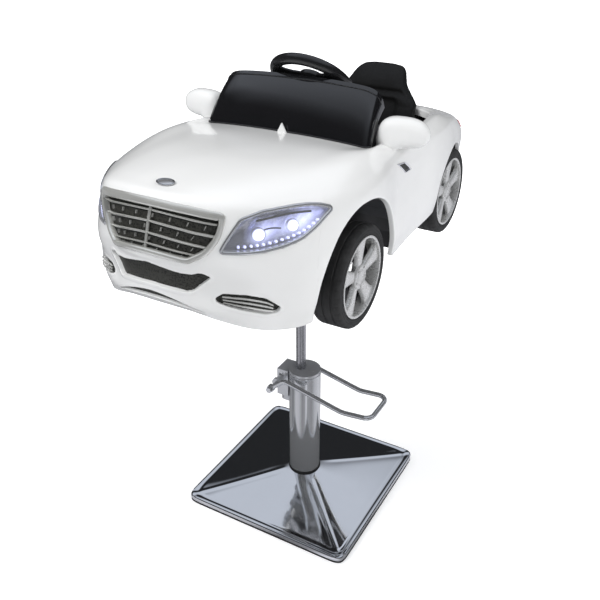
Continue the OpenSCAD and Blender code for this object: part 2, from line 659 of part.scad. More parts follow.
module grille_bars() {
    edge = 1 - rim_share - bar_edge_share;
    color([0.85, 0.86, 0.88]) {
        for (i = [1:bars]) {
            w = i / (bars + 1);
            plate([for (a = span(-edge, edge, 14)) [grille_at(a, w - bar_share), grille_at(a,
                w + bar_share)]],
                mesh_h, trim_h - gap);
        }
        plate([for (a = [-bar_share, bar_share]) [for (w = span(1 - edge, edge, 5)) grille_at(a, w)]],
            mesh_h, trim_h);
    }
}
badge_v_share = 6.03;
badge_w = 40;
badge_deep = 24;
badge_h = 3;
// Stands its children on the body with their Z along the body's outward direction
module facing(u, v, off) {
    n = outward(u, v);
    translate(skin(u, v, off)) rotate([0, acos(n[2]), atan2(n[1], n[0])]) children();
}
module hood_badge() {
    color([0.8, 0.81, 0.83]) facing(0, badge_v_share, -seat)
        scale([badge_deep / badge_w, 1, 1]) cylinder(r1 = badge_w / 2, r2 = badge_w / 2 - badge_h / 2,
            h = badge_h + seat);
}
lip_half_share = 1.6;
lip_share = .06;
lip_row_share = 1.1;
lip_droop_share = .25;
lip_taper_share = 1.2;
function lip_v(u) = lip_row_share - lip_droop_share * u * u;
module lip_trim() {
    color([0.05, 0.05, 0.05]) plate([for (u = span(-lip_half_share, lip_half_share, 16))
        [for (s = [-1, 1]) [u, lip_v(u) + s * lip_share * (lip_taper_share - abs(u)
            / lip_half_share)]]], -seat, over);
}

// Headlights: a place along (0 to 1) and up (0 to 1) in the lamp's outline
lamp_start_share = 2.45;
lamp_run_share = 2.17;
lamp_low_shares = [[0, 4.12], [.17, 4.13], [.33, 4.18], [.5, 4.28], [.67, 4.42], [.83, 4.66], [1, 5]];
lamp_high_shares = [[0, 4.9], [.17, 5.2], [.33, 5.3], [.5, 5.35], [.67, 5.33], [.83, 5.24], [1, 5.06]];
function lamp_at(a, w) = let (low = lookup(a, lamp_low_shares), high = lookup(a, lamp_high_shares))
    [lamp_start_share + lamp_run_share * a, low + w * (high - low)];
housing_h = 0.7;
lens_low = 3;
lens_t = 1.2;
projector_r = 16;
projector_h = 1.6;
projector_shares = [[2.98, 4.53], [3.65, 4.7]];
module headlight_housings() {
    color([0.12, 0.12, 0.13]) pair()
        plate([for (a = span(0, 1, 14)) [for (w = span(0, 1, 5)) lamp_at(a, w)]], -seat, housing_h);
}
module headlight_lamps() {
    color([0.75, 0.85, 1]) pair() for (p = projector_shares)
        facing(p[0], p[1], housing_h / 2) cylinder(r1 = projector_r, r2 = projector_r - over,
            h = projector_h - housing_h / 2);
}
module headlight_lenses() {
    color([0.75, 0.8, 0.85, 0.5]) pair()
        plate([for (a = span(0, 1, 14)) [for (w = span(0, 1, 5)) lamp_at(a, w)]], lens_low,
            lens_low + lens_t);
}

// Lower intake and the two recesses beside it
intake_half_share = 2;
intake_high_shares = [[0, 3.1], [.45, 2.8], [.74, 2.78], [.84, 2.9], [1, 2.74]];
intake_low_shares = [[0, 1.9], [.27, 1.85], [.6, 1.85], [.8, 2.05], [1, 2.66]];
fog_low_shares = [[2.18, 1.6], [2.35, 1.38], [2.68, 1.12], [3.18, .88], [3.43, .95], [3.5, 1.1]];
fog_high_shares = [[2.18, 1.8], [2.35, 2.05], [2.78, 1.98], [3.18, 1.75], [3.5, 1.25]];
fog_start_share = 2.18;
fog_end_share = 3.5;
function intake_at(a, w) = let (low = lookup(abs(a), intake_low_shares), high = lookup(abs(a),
    intake_high_shares))
    [intake_half_share * a, low + w * (high - low)];
function fog_at(a, w) = let (u = fog_start_share + a * (fog_end_share - fog_start_share),
    low = lookup(u, fog_low_shares), high = lookup(u, fog_high_shares)) [u, low + w * (high - low)];
module lower_vents() {
    color([0.03, 0.03, 0.035]) {
        plate([for (a = span(-1, 1, 24)) [for (w = span(0, 1, 4)) intake_at(a, w)]], -seat, mesh_h);
        pair() plate([for (a = span(0, 1, 9)) [for (w = span(0, 1, 4)) fog_at(a, w)]], -seat, mesh_h);
    }
}
fin_shares = [.3, .55, .8];
fin_share = .05;
module fog_fins() {
    color([0.84, 0.85, 0.87]) pair() for (w = fin_shares)
        plate([for (a = span(.12, .88, 8)) [fog_at(a, w - fin_share), fog_at(a, w + fin_share)]],
            mesh_h, trim_h);
}

// Windscreen panel, raised from the front edge of the cockpit, and the tab at its foot
screen_half_share = 4.8;
screen_run = 78;
screen_sweep = 8;
screen_droop_share = .04;
screen_corner_share = .36;
screen_corner_power = 9;
screen_pinch_share = .045;
screen_bulge = 10;
screen_push_share = .5;
screen_lift_share = .8;
screen_back_share = .8;
screen_up_share = .6;
function screen_at(a, h, off) = let (b = skin(screen_half_share * a, top_row, gap),
    drop = 1 - screen_droop_share * a * a - screen_corner_share * pow(abs(a), screen_corner_power))
    [b[0] * (1 - screen_pinch_share * h), b[1] + (screen_run + screen_sweep * a * a) * h
        - screen_bulge * sin(180 * h) * screen_push_share - off * screen_back_share,
            b[2] + screen_h * drop * h
        + screen_bulge * sin(180 * h) * screen_lift_share + off * screen_up_share];
module windscreen() {
    across = span(-1, 1, 26);
    up = span(0, 1, 8);
    color([0.02, 0.02, 0.025]) sheet([for (a = across) [for (h = up) screen_at(a, h, 0)]],
        [for (a = across) [for (h = up) screen_at(a, h, -screen_t)]]);
}
tab_w = 26;
tab_h = 24;
tab_t = 4;
module hood_tab() {
    p = surf(0, top_row);
    color([0.9, 0.9, 0.9]) translate([0, p[1] - tab_t - gap - over, p[2] - seat]) rotate([90, 0,
        0]) translate([0, 0, -tab_t / 2])
        linear_extrude(tab_t) polygon([[-tab_w / 2, 0], [tab_w / 2, 0], [0, tab_h]]);
}

// Trims on the flanks and the tail
vent_start_share = 8.1;
vent_end_share = 8.65;
vent_high_share = 5.25;
vent_fall_share = .7;
vent_half_share = .15;
vent_taper_share = .8;
module side_vents() {
    color([0.85, 0.86, 0.88]) pair() plate([for (t = span(0, 1, 6)) [for (s = [-1, 1])
        [vent_start_share + t * (vent_end_share - vent_start_share),
            vent_high_share - vent_fall_share * t
                + s * vent_half_share * (1 - vent_taper_share * t)]]], -seat, trim_h);
}
tail_lamp_shares = [[12, 4.4], [13.2, 5.2]];
module tail_lights() {
    a = tail_lamp_shares[0];
    b = tail_lamp_shares[1];
    color([0.55, 0.02, 0.02]) pair()
        plate([for (u = span(a[0], b[0], 8)) [for (v = span(a[1], b[1], 4)) [u, v]]], -seat, trim_h);
}
deck_w = 240;
deck_d = 11;
module rear_deck() {
    color([0.62, 0.63, 0.64]) box([-deck_w / 2, tub_back - deck_d, back_top + gap], [deck_w / 2,
        tub_back, back_top + tub_t]);
}

// Dashboard, with the switch in its rear face
dash_w = 300;
dash_wide = 400;
dash_front = well_front;
dash_d = 98;
dash_back = dash_front + dash_d;
dash_ledge = 8;
dash_step = dash_back - dash_ledge;
dash_low = firewall_top + gap;
dash_mid = 1150;
dash_high = 1205;
dash_lip = 1172;
column_r = 8;
column_clear = 4;
wheel_behind = 5.5;
wheel_y = dash_back + wheel_behind;
wheel_hub_z = 1232.4;
column_l = 390;
switch_x = 110;
switch_z = 1135;
switch_r = 9;
switch_proud = 5;
switch_depth = 12;
switch_spare = 4;
module along_column(d) {
    translate([0, wheel_y, wheel_hub_z]) rotate([-steer_lean, 0, 0]) translate([0, 0, -d]) children();
}
module dashboard() {
    color([0.05, 0.05, 0.055]) difference() {
        union() {
            translate([-dash_w / 2, 0, 0]) rotate([90, 0, 90]) linear_extrude(dash_w)
                polygon([[dash_front, dash_low], [dash_back, dash_low], [dash_back, dash_lip],
                    [dash_back - (dash_high - dash_lip) / 2, dash_high], [-2 * tub_t,
                        dash_high - tub_t], [dash_front, dash_mid]]);
            box([-dash_wide / 2, dash_front, dash_low], [dash_wide / 2, dash_step, dash_mid]);
        }
        along_column(column_l) cylinder(r = column_r + column_clear, h = column_l);
        translate([switch_x, dash_back + over, switch_z]) rotate([90, 0,
            0]) cylinder(r = switch_r + fit, h = switch_depth + over);
        box([-dash_wide / 2 + tub_t, dash_front + tub_t, dash_low - over], [dash_wide / 2 - tub_t,
            dash_back - 3 * tub_t, dash_mid - tub_t]);
    }
}
module dash_switch() {
    color([0.7, 0.05, 0.05]) translate([switch_x, dash_back + switch_proud, switch_z]) rotate([90, 0, 0])
        cylinder(r = switch_r, h = switch_proud + switch_depth - switch_spare);
}

// Steering wheel, its column with the lower arm, and the bush that holds the column
hub_wheel_r = 34;
hub_h = 26;
pocket_h = 10;
horn_r = 22;
horn_h = 9;
horn_travel = 3;
spoke_w = 26;
spoke_t = 9;
module steering_wheel() {
    color([0.04, 0.04, 0.045]) along_column(0) difference() {
        union() {
            rotate_extrude() translate([steer_d / 2, 0]) circle(r = grip_d / 2, $fn = 32);
            translate([0, 0, -hub_h / 2]) cylinder(r = hub_wheel_r, h = hub_h);
            for (a = [90, 205, 335]) rotate(a) translate([hub_wheel_r / 2, -spoke_w / 2, -spoke_t / 2])
                cube([(steer_d - hub_wheel_r) / 2, spoke_w, spoke_t]);
        }
        translate([0, 0, hub_h / 2 - pocket_h]) cylinder(r = horn_r + fit, h = pocket_h + over);
        translate([0, 0, -hub_h / 2 - over]) cylinder(r = column_r, h = pocket_h + over);
    }
}
module horn_button() {
    color([0.12, 0.12, 0.13]) along_column(0)
        translate([0, 0, hub_h / 2 - pocket_h + horn_travel + gap]) cylinder(r = horn_r, h = horn_h);
}
pitman_l = 24;
pitman_r = 9;
pitman_t = 6;
pin_small_r = 3.5;
pitman_wall = 2;
pin_small_l = 22;
module steering_column() {
    color([0.25, 0.25, 0.26]) {
        along_column(column_l) cylinder(r = column_r, h = column_l - hub_h / 2 + pocket_h);
        along_column(column_l) {
            cylinder(r = pitman_r, h = pitman_t);
            translate([-pin_small_r - pitman_wall, 0, 0])
                cube([2 * (pin_small_r + pitman_wall), pitman_l, pitman_t]);
            translate([0, pitman_l, 0]) cylinder(r = pin_small_r + pitman_wall, h = pitman_t);
            translate([0, pitman_l, -pin_small_l]) cylinder(r = pin_small_r, h = pin_small_l + over);
        }
    }
}
bush_at = 354;
bush_l = 24;
bush_r = 14;
leg_ahead = 214.5;
leg_front = wheel_y - leg_ahead;
leg_t = 10;
leg_back = leg_front + leg_t;
leg_high = 970;
leg_w = 12;
foot_w = 40;
module column_bush() {
    color([0.3, 0.3, 0.31]) difference() {
        union() {
            along_column(bush_at) cylinder(r = bush_r, h = bush_l);
            box([-leg_w / 2, leg_front, pan_z + pan_t], [leg_w / 2, leg_back, leg_high]);
            box([-foot_w / 2, leg_front, pan_z + pan_t], [foot_w / 2, leg_back + leg_w,
                pan_z + pan_t + tub_t]);
        }
        along_column(bush_at + over) cylinder(r = column_r + fit, h = bush_l + 2 * over);
    }
}
yoke_in = 6.5;
yoke_t = 3;
yoke_front = 18;
yoke_back = 4;
yoke_low = 900;
yoke_high = 921;
tie_pin_r = 3;
tie_pin_low = 884;
module tie_rod() {
    color([0.55, 0.56, 0.58]) {
        translate([-king_x - tie_pin_r, tie_y, tie_z]) rotate([0, 90, 0]) cylinder(r = tie_r,
            h = 2 * (king_x + tie_pin_r));
        for (x = [-king_x, king_x]) translate([x, tie_y, tie_pin_low]) cylinder(r = tie_pin_r,
            h = tie_z - tie_pin_low);
        for (x = [-yoke_in - yoke_t, yoke_in])
            box([x, tie_y - yoke_front, yoke_low], [x + yoke_t, tie_y + yoke_back, yoke_high]);
    }
}

// Front beam with its kingpins, and the knuckles that turn on them
yoke_gap_low = 874;
yoke_gap_high = 910;
yoke_plate_t = 6;
yoke_inset = 25;
yoke_start = king_x - yoke_inset;
yoke_over = 13;
yoke_end = king_x + yoke_over;
module front_beam() {
    color([0.16, 0.16, 0.17]) {
        box([-yoke_start - over, front_y - beam_w / 2, beam_low], [yoke_start + over,
            front_y + beam_w / 2, beam_high]);
        pair() {
            box([yoke_start, front_y - beam_w / 2, yoke_gap_low - yoke_plate_t],
                [yoke_start + yoke_plate_t, front_y + beam_w / 2, yoke_gap_high + yoke_plate_t]);
            for (z = [yoke_gap_low - yoke_plate_t, yoke_gap_high])
                box([yoke_start, front_y - beam_w / 2, z], [yoke_end, front_y + beam_w / 2,
                    z + yoke_plate_t]);
            translate([king_x, front_y, yoke_gap_low - yoke_plate_t]) cylinder(r = king_r,
                h = yoke_gap_high - yoke_gap_low + 2 * yoke_plate_t);
        }
    }
}
axle_r = axle_d / 2;
axle_reach = 62;
axle_end = wheel_in + axle_reach;
nut_reach = 54;
nut_at = wheel_in + nut_reach;
axle_nut_t = 7;
axle_nut_r = 10;
module stub_axle(start) {
    translate([start, 0, wheel_z]) rotate([0, 90, 0]) cylinder(r = axle_r, h = axle_end - start);
    translate([nut_at, 0, wheel_z]) rotate([0, 90, 0]) cylinder(r = axle_nut_r, h = axle_nut_t, $fn = 6);
}
block_r = 13;
block_out = 12;
arm_t = 8;
arm_w = 16;
eye_r = 10;
eye_play = 1.5;
eye_bore = tie_pin_r + eye_play;
module knuckle() {
    difference() {
        union() {
            box([king_x - block_out, front_y - block_r, yoke_gap_low + gap], [king_x + block_out,
                front_y + block_r, yoke_gap_high - gap]);
            translate([0, front_y, 0]) stub_axle(king_x + king_r + over);
            box([king_x - arm_w / 2, front_y, wheel_z - arm_t / 2], [king_x + arm_w / 2, eye_y,
                wheel_z + arm_t / 2]);
            translate([king_x, eye_y, wheel_z - arm_t / 2]) cylinder(r = eye_r, h = arm_t);
        }
        translate([king_x, front_y, yoke_gap_low - over]) cylinder(r = king_r + fit,
            h = yoke_gap_high - yoke_gap_low + 2 * over);
        translate([king_x, eye_y, wheel_z - arm_t]) cylinder(r = eye_bore, h = 2 * arm_t);
    }
}
module knuckle_left() { color([0.2, 0.2, 0.21]) knuckle(); }
module knuckle_right() { color([0.2, 0.2, 0.21]) mirror([1, 0, 0]) knuckle(); }
collar_out = 8;
module rear_axle() {
    color([0.2, 0.2, 0.21]) {
        translate([rear_inset - axle_end, rear_y, wheel_z]) rotate([0, 90, 0])
            cylinder(r = axle_r, h = 2 * (axle_end - rear_inset));
        pair() {
            translate([nut_at - rear_inset, rear_y, wheel_z]) rotate([0, 90,
                0]) cylinder(r = axle_nut_r, h = axle_nut_t, $fn = 6);
            translate([spine_w - tub_t - gap - collar_out, rear_y, wheel_z]) rotate([0, 90,
                0]) cylinder(r = 2 * axle_r, h = collar_out);
        }
    }
}
battery_w = 150;
battery_l = 120;
battery_h = 68;
battery_ahead = 152;
battery_y = rear_y - battery_ahead;
terminal_r = 6;
module battery() {
    z = pan_z + pan_t + gap;
    color([0.1, 0.1, 0.11]) {
        translate([-battery_w / 2, battery_y, z]) cube([battery_w, battery_l, battery_h]);
        for (x = [-battery_w / 3, battery_w / 3])
            translate([x, battery_y + battery_l / 4, z + battery_h - over]) cylinder(r = terminal_r,
                h = terminal_r + over);
    }
}

// Wheels, made about their own centre with the outer face along +Z
tyre_r = tyre_d / 2;
rim_r = rim_d / 2;
tyre_round = 10;
rim_wall = 7;
window_start_share = .36;
slit_start_share = .54;
window_half_share = .22;
slit_half_share = .12;
hub_rim_r = 26;
hub_start = 26;
face_start = 51;
face_end = 65;
pocket_r = 12;
module tyre() {
    h = tyre_w / 2;
    k = tyre_r - tyre_round;
    rotate_extrude() polygon(concat([[rim_r + fit, -h]],
        [for (t = [0:18:90]) [k + tyre_round * sin(t), -h + tyre_round - tyre_round * cos(t)]],
        [for (t = [0:18:90]) [k + tyre_round * cos(t), h - tyre_round + tyre_round * sin(t)]],
            [[rim_r + fit, h]]));
}
module rim() {
    h = tyre_w / 2;
    low = rim_r * window_start_share;
    high = rim_r - rim_wall + 2 * over;
    step = 360 / spokes;
    difference() {
        union() {
            translate([0, 0, -h]) ring(rim_r, rim_r - rim_wall, tyre_w);
            translate([0, 0, hub_start - h]) cylinder(r = hub_rim_r, h = tyre_w - hub_start);
            translate([0, 0, face_start - h]) linear_extrude(face_end - face_start) difference() {
                circle(r = rim_r - rim_wall / 2);
                for (i = [0:spokes - 1]) rotate(i * step) {
                    polygon([[low, 0], [high * cos(step * window_half_share),
                        -high * sin(step * window_half_share)], [high, 0],
                        [high * cos(step * window_half_share), high * sin(step * window_half_share)]]);
                    rotate(step / 2) polygon([[rim_r * slit_start_share, 0],
                        [high * cos(step * slit_half_share), -high * sin(step * slit_half_share)],
                        [high * cos(step * slit_half_share), high * sin(step * slit_half_share)]]);
                }
            }
        }
        translate([0, 0, hub_start - h - over]) cylinder(r = axle_r + fit,
            h = nut_at - wheel_in - hub_start + over);
        translate([0, 0, nut_at - over - wheel_in - h]) cylinder(r = pocket_r, h = pocket_r);
    }
}
module at_wheel(left, front) {
    translate([0, front ? front_y : rear_y, wheel_z]) mirror([left ? 0 : 1, 0, 0])
        translate([rim_face - tyre_w / 2 - (front ? 0 : rear_inset), 0, 0]) rotate([90, 0, 90]) children();
}
module put_tyre(left, front) { color([0.05, 0.05, 0.05]) at_wheel(left, front) tyre(); }
module put_rim(left, front) { color([0.8, 0.81, 0.82]) at_wheel(left, front) rim(); }

// Seat: a crowned cushion and a backrest with rounded shoulders and a headrest
cushion_gap = 87;
cushion_back = tub_back - cushion_gap;
cushion_h = 57;
cushion_crown = 12;
cushion_round_share = .3;
// Levels of the cushion as shares of its height, each with the share of its half size
cushion_shares = [[0, .93], [.06, .965], [.2, .985], [.4, .995], [.6, 1], [.78, .99], [.9, .955], [.97,
    .89], [1, .8]];
top_shares = [.6, .4, .2, .03];
function seat_ring(half_x, half_y, mid, z, n = 40) = [for (i = [0:n - 1])
    let (p = round_pt([half_x, half_y], 360 * i / n, cushion_round_share)) [p[0], mid + p[1], z]];
module seat_cushion() {
    half_d = (cushion_back - seat_front) / 2;
    mid = seat_front + half_d;
    z0 = platform_z + gap;
    body = cushion_h - cushion_crown;
    last_share = cushion_shares[len(cushion_shares) - 1][1];
    color([0.04, 0.04, 0.045]) loft(concat(
        [for (s = cushion_shares) seat_ring(seat_w / 2 * s[1], half_d * s[1], mid, z0 + body * s[0])],
        [for (s = top_shares) seat_ring(seat_w / 2 * s, half_d * s, mid,
            z0 + body + cushion_crown * (1 - pow(s / last_share, 2)))]));
}
back_w = 300;
back_room = 60;
back_foot = tub_back - back_room;
back_lean = 112;
back_lean_power = 2.6;
back_t = 50;
// Levels of the backrest: share of its height, of its half width and of its thickness
back_shares = [[0, .9, .7], [.02, .96, .85], [.1, .99, .97], [.25, 1, 1], [.38, 1, .99], [.46, .98, .96],
    [.52, .94, .93], [.57, .93, .86], [.61, .94, .8], [.65, .89, .88], [.7, .8, .94], [.75, .71, .95],
    [.8, .63, .96], [.86, .57, .97], [.92, .52, .9], [.96, .46, .72], [.985, .38, .48], [1, .2, .15]];
module seat_back() {
    color([0.04, 0.04, 0.045]) loft([for (s = back_shares)
        let (z = platform_z + gap + back_h * s[0], mid = back_foot + back_lean * pow(s[0], back_lean_power))
        seat_ring(back_w / 2 * s[1], back_t / 2 * s[2], mid, z)]);
}

// Door mirrors: each a rounded housing on a short foot, with a flat glass behind
mirror_in = 33;
mirror_x = half_w - mirror_in;
mirror_z = 1147;
mirror_half = 58;
// Levels across from the inner end: share of the half width, then half depth, half height and rise
mirror_shares = [[-1, .18, .16, .2], [-.9, .5, .42, .17], [-.65, .78, .66, .16], [-.3, .93, .9, .06],
    [0, 1, 1, 0],
    [.4, .98, .98, -.03], [.75, .8, .82, -.05], [.93, .5, .55, -.05], [1, .16, .18, -.05]];
mirror_deep = 27;
mirror_tall = 34;
mirror_back = 12;
mirror_foot_w = 22;
mirror_foot_d = 22;
foot_in = 55;
foot_x = half_w - foot_in;
mirror_row_share = 7.8;
module mirror_body() {
    difference() {
        union() {
            loft([for (s = mirror_shares) [for (k = [0:27])
                let (p = round_pt([mirror_deep * s[1], mirror_tall * s[2]], 360 * k / 28, .8))
                [mirror_x + mirror_half * s[0], p[0], mirror_z + mirror_tall * s[3] + p[1]]]]);
            box([foot_x - mirror_foot_w / 2, -mirror_foot_d / 2, surf(u_at(0, mirror_row_share, 6, 9),
                mirror_row_share)[2] - seat],
                [foot_x + mirror_foot_w / 2, mirror_foot_d / 2, mirror_z]);
        }
        box([0, mirror_back, 0], [2 * mirror_x, mirror_deep + over, 2 * mirror_z]);
    }
}
module mirror_left() { color([0.9, 0.9, 0.9]) mirror_body(); }
module mirror_right() { color([0.9, 0.9, 0.9]) mirror([1, 0, 0]) mirror_body(); }
glass_w_share = .86;
glass_h_share = .62;
glass_t = 2;
// The glass follows the housing's outline: its points above or below the middle line
function glass_edge(up) = [for (s = mirror_shares) [mirror_x + mirror_half * glass_w_share * s[0],
    mirror_z + mirror_tall * s[3] + up * mirror_tall * glass_h_share * s[2]]];
module mirror_glasses() {
    low_edge = glass_edge(-1);
    high_edge = glass_edge(1);
    n = len(low_edge);
    color([0.6, 0.65, 0.68]) pair() translate([0, mirror_back + glass_t, 0]) rotate([90, 0, 0])
        linear_extrude(glass_t) polygon(concat(low_edge, [for (i = [n - 1:-1:0]) high_edge[i]]));
}

floor_gasket();
base_plate();
base_cover();
column_collar();
pump_sleeve();
pump_body();
pump_bracket();
pedal_pin();
pump_pedal();
pump_plunger();
plunger_spring();
lift_ram();
thrust_washer();
swivel_socket();
seat_frame();
frame_bolts();
floor_tub();
body_shell();
front_arch_liners();
rear_arch_liners();
grille_surround();
grille_bars();
grille_mesh();
hood_badge();
lip_trim();
headlight_housings();
headlight_lamps();
headlight_lenses();
lower_vents();
fog_fins();
windscreen();
hood_tab();
dashboard();
dash_switch();
steering_column();
column_bush();
steering_wheel();
horn_button();
seat_cushion();
seat_back();
mirror_left();
mirror_right();
mirror_glasses();
side_vents();
tail_lights();
rear_deck();
battery();
rear_axle();
front_beam();
knuckle_left();
knuckle_right();
tie_rod();
put_tyre(true, true);  // tyre_fl
put_rim(true, true);  // rim_fl
put_tyre(false, true);  // tyre_fr
put_rim(false, true);  // rim_fr
put_tyre(true, false);  // tyre_rl
put_rim(true, false);  // rim_rl
put_tyre(false, false);  // tyre_rr
put_rim(false, false);  // rim_rr
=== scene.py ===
"""A child's barber chair shaped as a small car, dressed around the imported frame."""
import math

import bpy
import numpy as np
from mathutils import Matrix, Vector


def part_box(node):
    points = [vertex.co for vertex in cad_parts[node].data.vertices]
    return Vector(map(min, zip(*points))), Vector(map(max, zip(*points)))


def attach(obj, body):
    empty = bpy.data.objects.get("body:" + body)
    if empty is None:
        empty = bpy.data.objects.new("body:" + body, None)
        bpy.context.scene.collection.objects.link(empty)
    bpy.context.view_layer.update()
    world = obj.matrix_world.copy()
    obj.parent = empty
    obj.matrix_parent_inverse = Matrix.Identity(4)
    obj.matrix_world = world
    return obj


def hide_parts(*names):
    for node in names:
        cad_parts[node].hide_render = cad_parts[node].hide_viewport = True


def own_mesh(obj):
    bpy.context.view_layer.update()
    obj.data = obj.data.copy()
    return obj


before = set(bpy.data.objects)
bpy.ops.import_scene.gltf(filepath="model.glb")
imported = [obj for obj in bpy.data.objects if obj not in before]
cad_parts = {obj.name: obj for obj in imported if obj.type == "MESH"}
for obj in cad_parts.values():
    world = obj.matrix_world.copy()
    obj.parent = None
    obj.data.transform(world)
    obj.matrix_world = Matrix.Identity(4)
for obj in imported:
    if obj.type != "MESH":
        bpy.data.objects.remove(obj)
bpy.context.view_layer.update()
MM = 0.001
X, Y, Z = np.eye(3)
FLIP = np.array([-1, 1, 1])


def node_box(name):
    """The low and high corners of a piece of the frame"""
    return np.array(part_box(name))


# Shader maths: a wrapped socket whose operators add Math nodes
class Num:
    """One output of a material's nodes; + - * / and powers add Math nodes to the same material"""

    def __init__(self, paint, socket):
        self.paint = paint
        self.socket = socket

    def maths(self, operation, first, second=0.0):
        return self.paint.maths(operation, first, second)

    def __add__(self, other):
        return self.maths("ADD", self, other)

    __radd__ = __add__

    def __sub__(self, other):
        return self.maths("SUBTRACT", self, other)

    def __rsub__(self, other):
        return self.maths("SUBTRACT", other, self)

    def __mul__(self, other):
        return self.maths("MULTIPLY", self, other)

    __rmul__ = __mul__

    def __truediv__(self, other):
        return self.maths("DIVIDE", self, other)

    def __pow__(self, other):
        return self.maths("POWER", self, other)


class Paint:
    """A material under construction, or the world where one is given"""

    def __init__(self, name, world=None):
        self.material = world or bpy.data.materials.new(name)
        self.material.use_nodes = True
        self.tree = self.material.node_tree
        self.shader = self.tree.nodes.get("Principled BSDF")

    def node(self, kind, settings, values, out=0):
        made = self.tree.nodes.new(kind)
        for key, value in settings.items():
            if key == "stops":
                ramp = made.color_ramp
                while len(ramp.elements) < len(value):
                    ramp.elements.new(0.5)
                for element, (place, shade) in zip(ramp.elements, value):
                    element.position = place
                    element.color = shade if len(shade) == 4 else (*shade, 1)
            else:
                setattr(made, key, value)
        for key, value in values.items():
            self.feed(made.inputs[key], value)
        return Num(self, made.outputs[out]) if out is not None else made

    def feed(self, socket, value):
        if isinstance(value, Num):
            self.tree.links.new(value.socket, socket)
        elif socket.type == "RGBA" and len(value) == 3:
            socket.default_value = (*value, 1)
        else:
            socket.default_value = value

    def set(self, **values):
        for key, value in values.items():
            self.feed(self.shader.inputs[key.replace("_", " ")], value)
        return self

    def maths(self, operation, first, second=0.0):
        return self.node("ShaderNodeMath", {"operation": operation}, {0: first, 1: second})

    def place(self):
        return self.node("ShaderNodeTexCoord", {}, {}, 3)

    def axis(self, vector, index):
        return self.node("ShaderNodeSeparateXYZ", {}, {0: vector}, index)

    def ray(self, index):
        """1 for one kind of light ray: 0 camera, 3 glossy"""
        return self.node("ShaderNodeLightPath", {}, {}, index)

    def noise(self, scale, detail=3.0, rough=0.5, at=None):
        return self.node("ShaderNodeTexNoise", {}, {"Vector": at or self.place(), "Scale": scale,
                                                   "Detail": detail, "Roughness": rough})

    def cells(self, scale, feature="DISTANCE_TO_EDGE"):
        return self.node("ShaderNodeTexVoronoi", {"feature": feature},
                         {"Vector": self.place(), "Scale": scale})

    def mix(self, mask, low, high):
        return self.node("ShaderNodeMix", {"data_type": "RGBA"}, {0: mask, 6: low, 7: high}, 2)

    def ramp(self, value, stops):
        return self.node("ShaderNodeValToRGB", {"stops": stops}, {0: value})

    def bump(self, height, distance, strength):
        return self.node("ShaderNodeBump", {},
                         {"Height": height, "Distance": distance, "Strength": strength})

    def band(self, value, low, high):
        """0 below low, 1 above high, a straight ramp between"""
        return self.node("ShaderNodeMapRange", {}, {0: value, 1: low, 2: high})


def shade(color, factor):
    """A colour made darker or lighter"""
    return tuple(min(1.0, channel * factor) for channel in color)


DUST = (0.42, 0.40, 0.37)


def moulded(name, color, rough, grain=0.0, coat=0.0, vary=0.04, dust=0.0):
    """Moulded plastic: a slight cloud in colour and gloss, a fine grain and dust in the hollows"""
    paint = Paint(name)
    cloud, fine = paint.noise(9, 4), paint.noise(70, 3)
    tone = paint.mix(cloud, shade(color, 1 - vary), shade(color, 1 + vary))
    if dust:
        hollow = paint.node("ShaderNodeNewGeometry", {}, {}, 7)
        tone = paint.mix((1 - paint.band(hollow, 0.40, 0.49)) * dust, tone, DUST)
    scale, depth, strength = (900, grain, 0.6) if grain else (28, 0.05, 0.35)
    paint.set(Base_Color=tone, Roughness=rough * (0.85 + 0.3 * fine), Coat_Weight=coat,
              Coat_Roughness=0.06, Normal=paint.bump(paint.noise(scale, 2), depth * MM, strength))
    return paint.material


def polished(name, color, rough, smudge=0.06, tint=0.06, metal=1.0):
    """Plated or polished metal: soft smudges in the gloss and a slight wave in the plate.
    A lower metal share gives the paler, hazier look of plating on plastic or castings"""
    paint = Paint(name)
    cloud, wipe = paint.noise(14, 5, 0.6), paint.noise(55, 4, 0.7)
    paint.set(Base_Color=paint.mix(cloud, shade(color, 1 - tint), color), Metallic=metal,
              Roughness=rough + smudge * paint.band(wipe, 0.42, 0.75),
              Normal=paint.bump(paint.noise(16, 2), 0.10 * MM, 0.35))
    return paint.material


def turned(name, color, rough):
    """Turned or drawn steel: fine rings round its Z axis"""
    paint = Paint(name)
    at = paint.node("ShaderNodeMapping", {}, {"Vector": paint.place(), "Scale": (0.05, 0.05, 1)})
    rings = paint.noise(700, 3, 0.6, at)
    paint.set(Base_Color=paint.mix(paint.noise(12, 3), shade(color, 0.86), color), Metallic=1.0,
              Roughness=rough + 0.16 * rings, Normal=paint.bump(rings, 0.03 * MM, 0.5))
    return paint.material


def tyre_rubber(name, color):
    """Moulded tyre rubber with a dry bloom and a fine pebble"""
    paint = Paint(name)
    bloom = paint.noise(22, 5, 0.6)
    tone = paint.mix(paint.band(bloom, 0.35, 0.8), color, shade(color, 2.3))
    paint.set(Base_Color=tone, Roughness=0.62 + 0.2 * bloom,
              Normal=paint.bump(paint.noise(800, 3), 0.10 * MM, 0.6))
    return paint.material


def hide(name, color):
    """Soft upholstery leather: pebble cells darker along their edges, and fine creases"""
    paint = Paint(name)
    fold = paint.noise(60, 6, 0.65)
    cell_edge = paint.band(paint.cells(430), 0.0, 0.22)
    tone = paint.mix(paint.noise(7, 4), shade(color, 0.75), shade(color, 1.35))
    # The pebble cells are darker along their edges
    tone = paint.mix(cell_edge, shade(color, 0.45), tone)
    paint.set(Base_Color=tone, Roughness=0.42 + 0.18 * fold, Specular_IOR_Level=0.22,
              Normal=paint.bump(cell_edge + 1.4 * fold, 0.22 * MM, 0.7))
    return paint.material


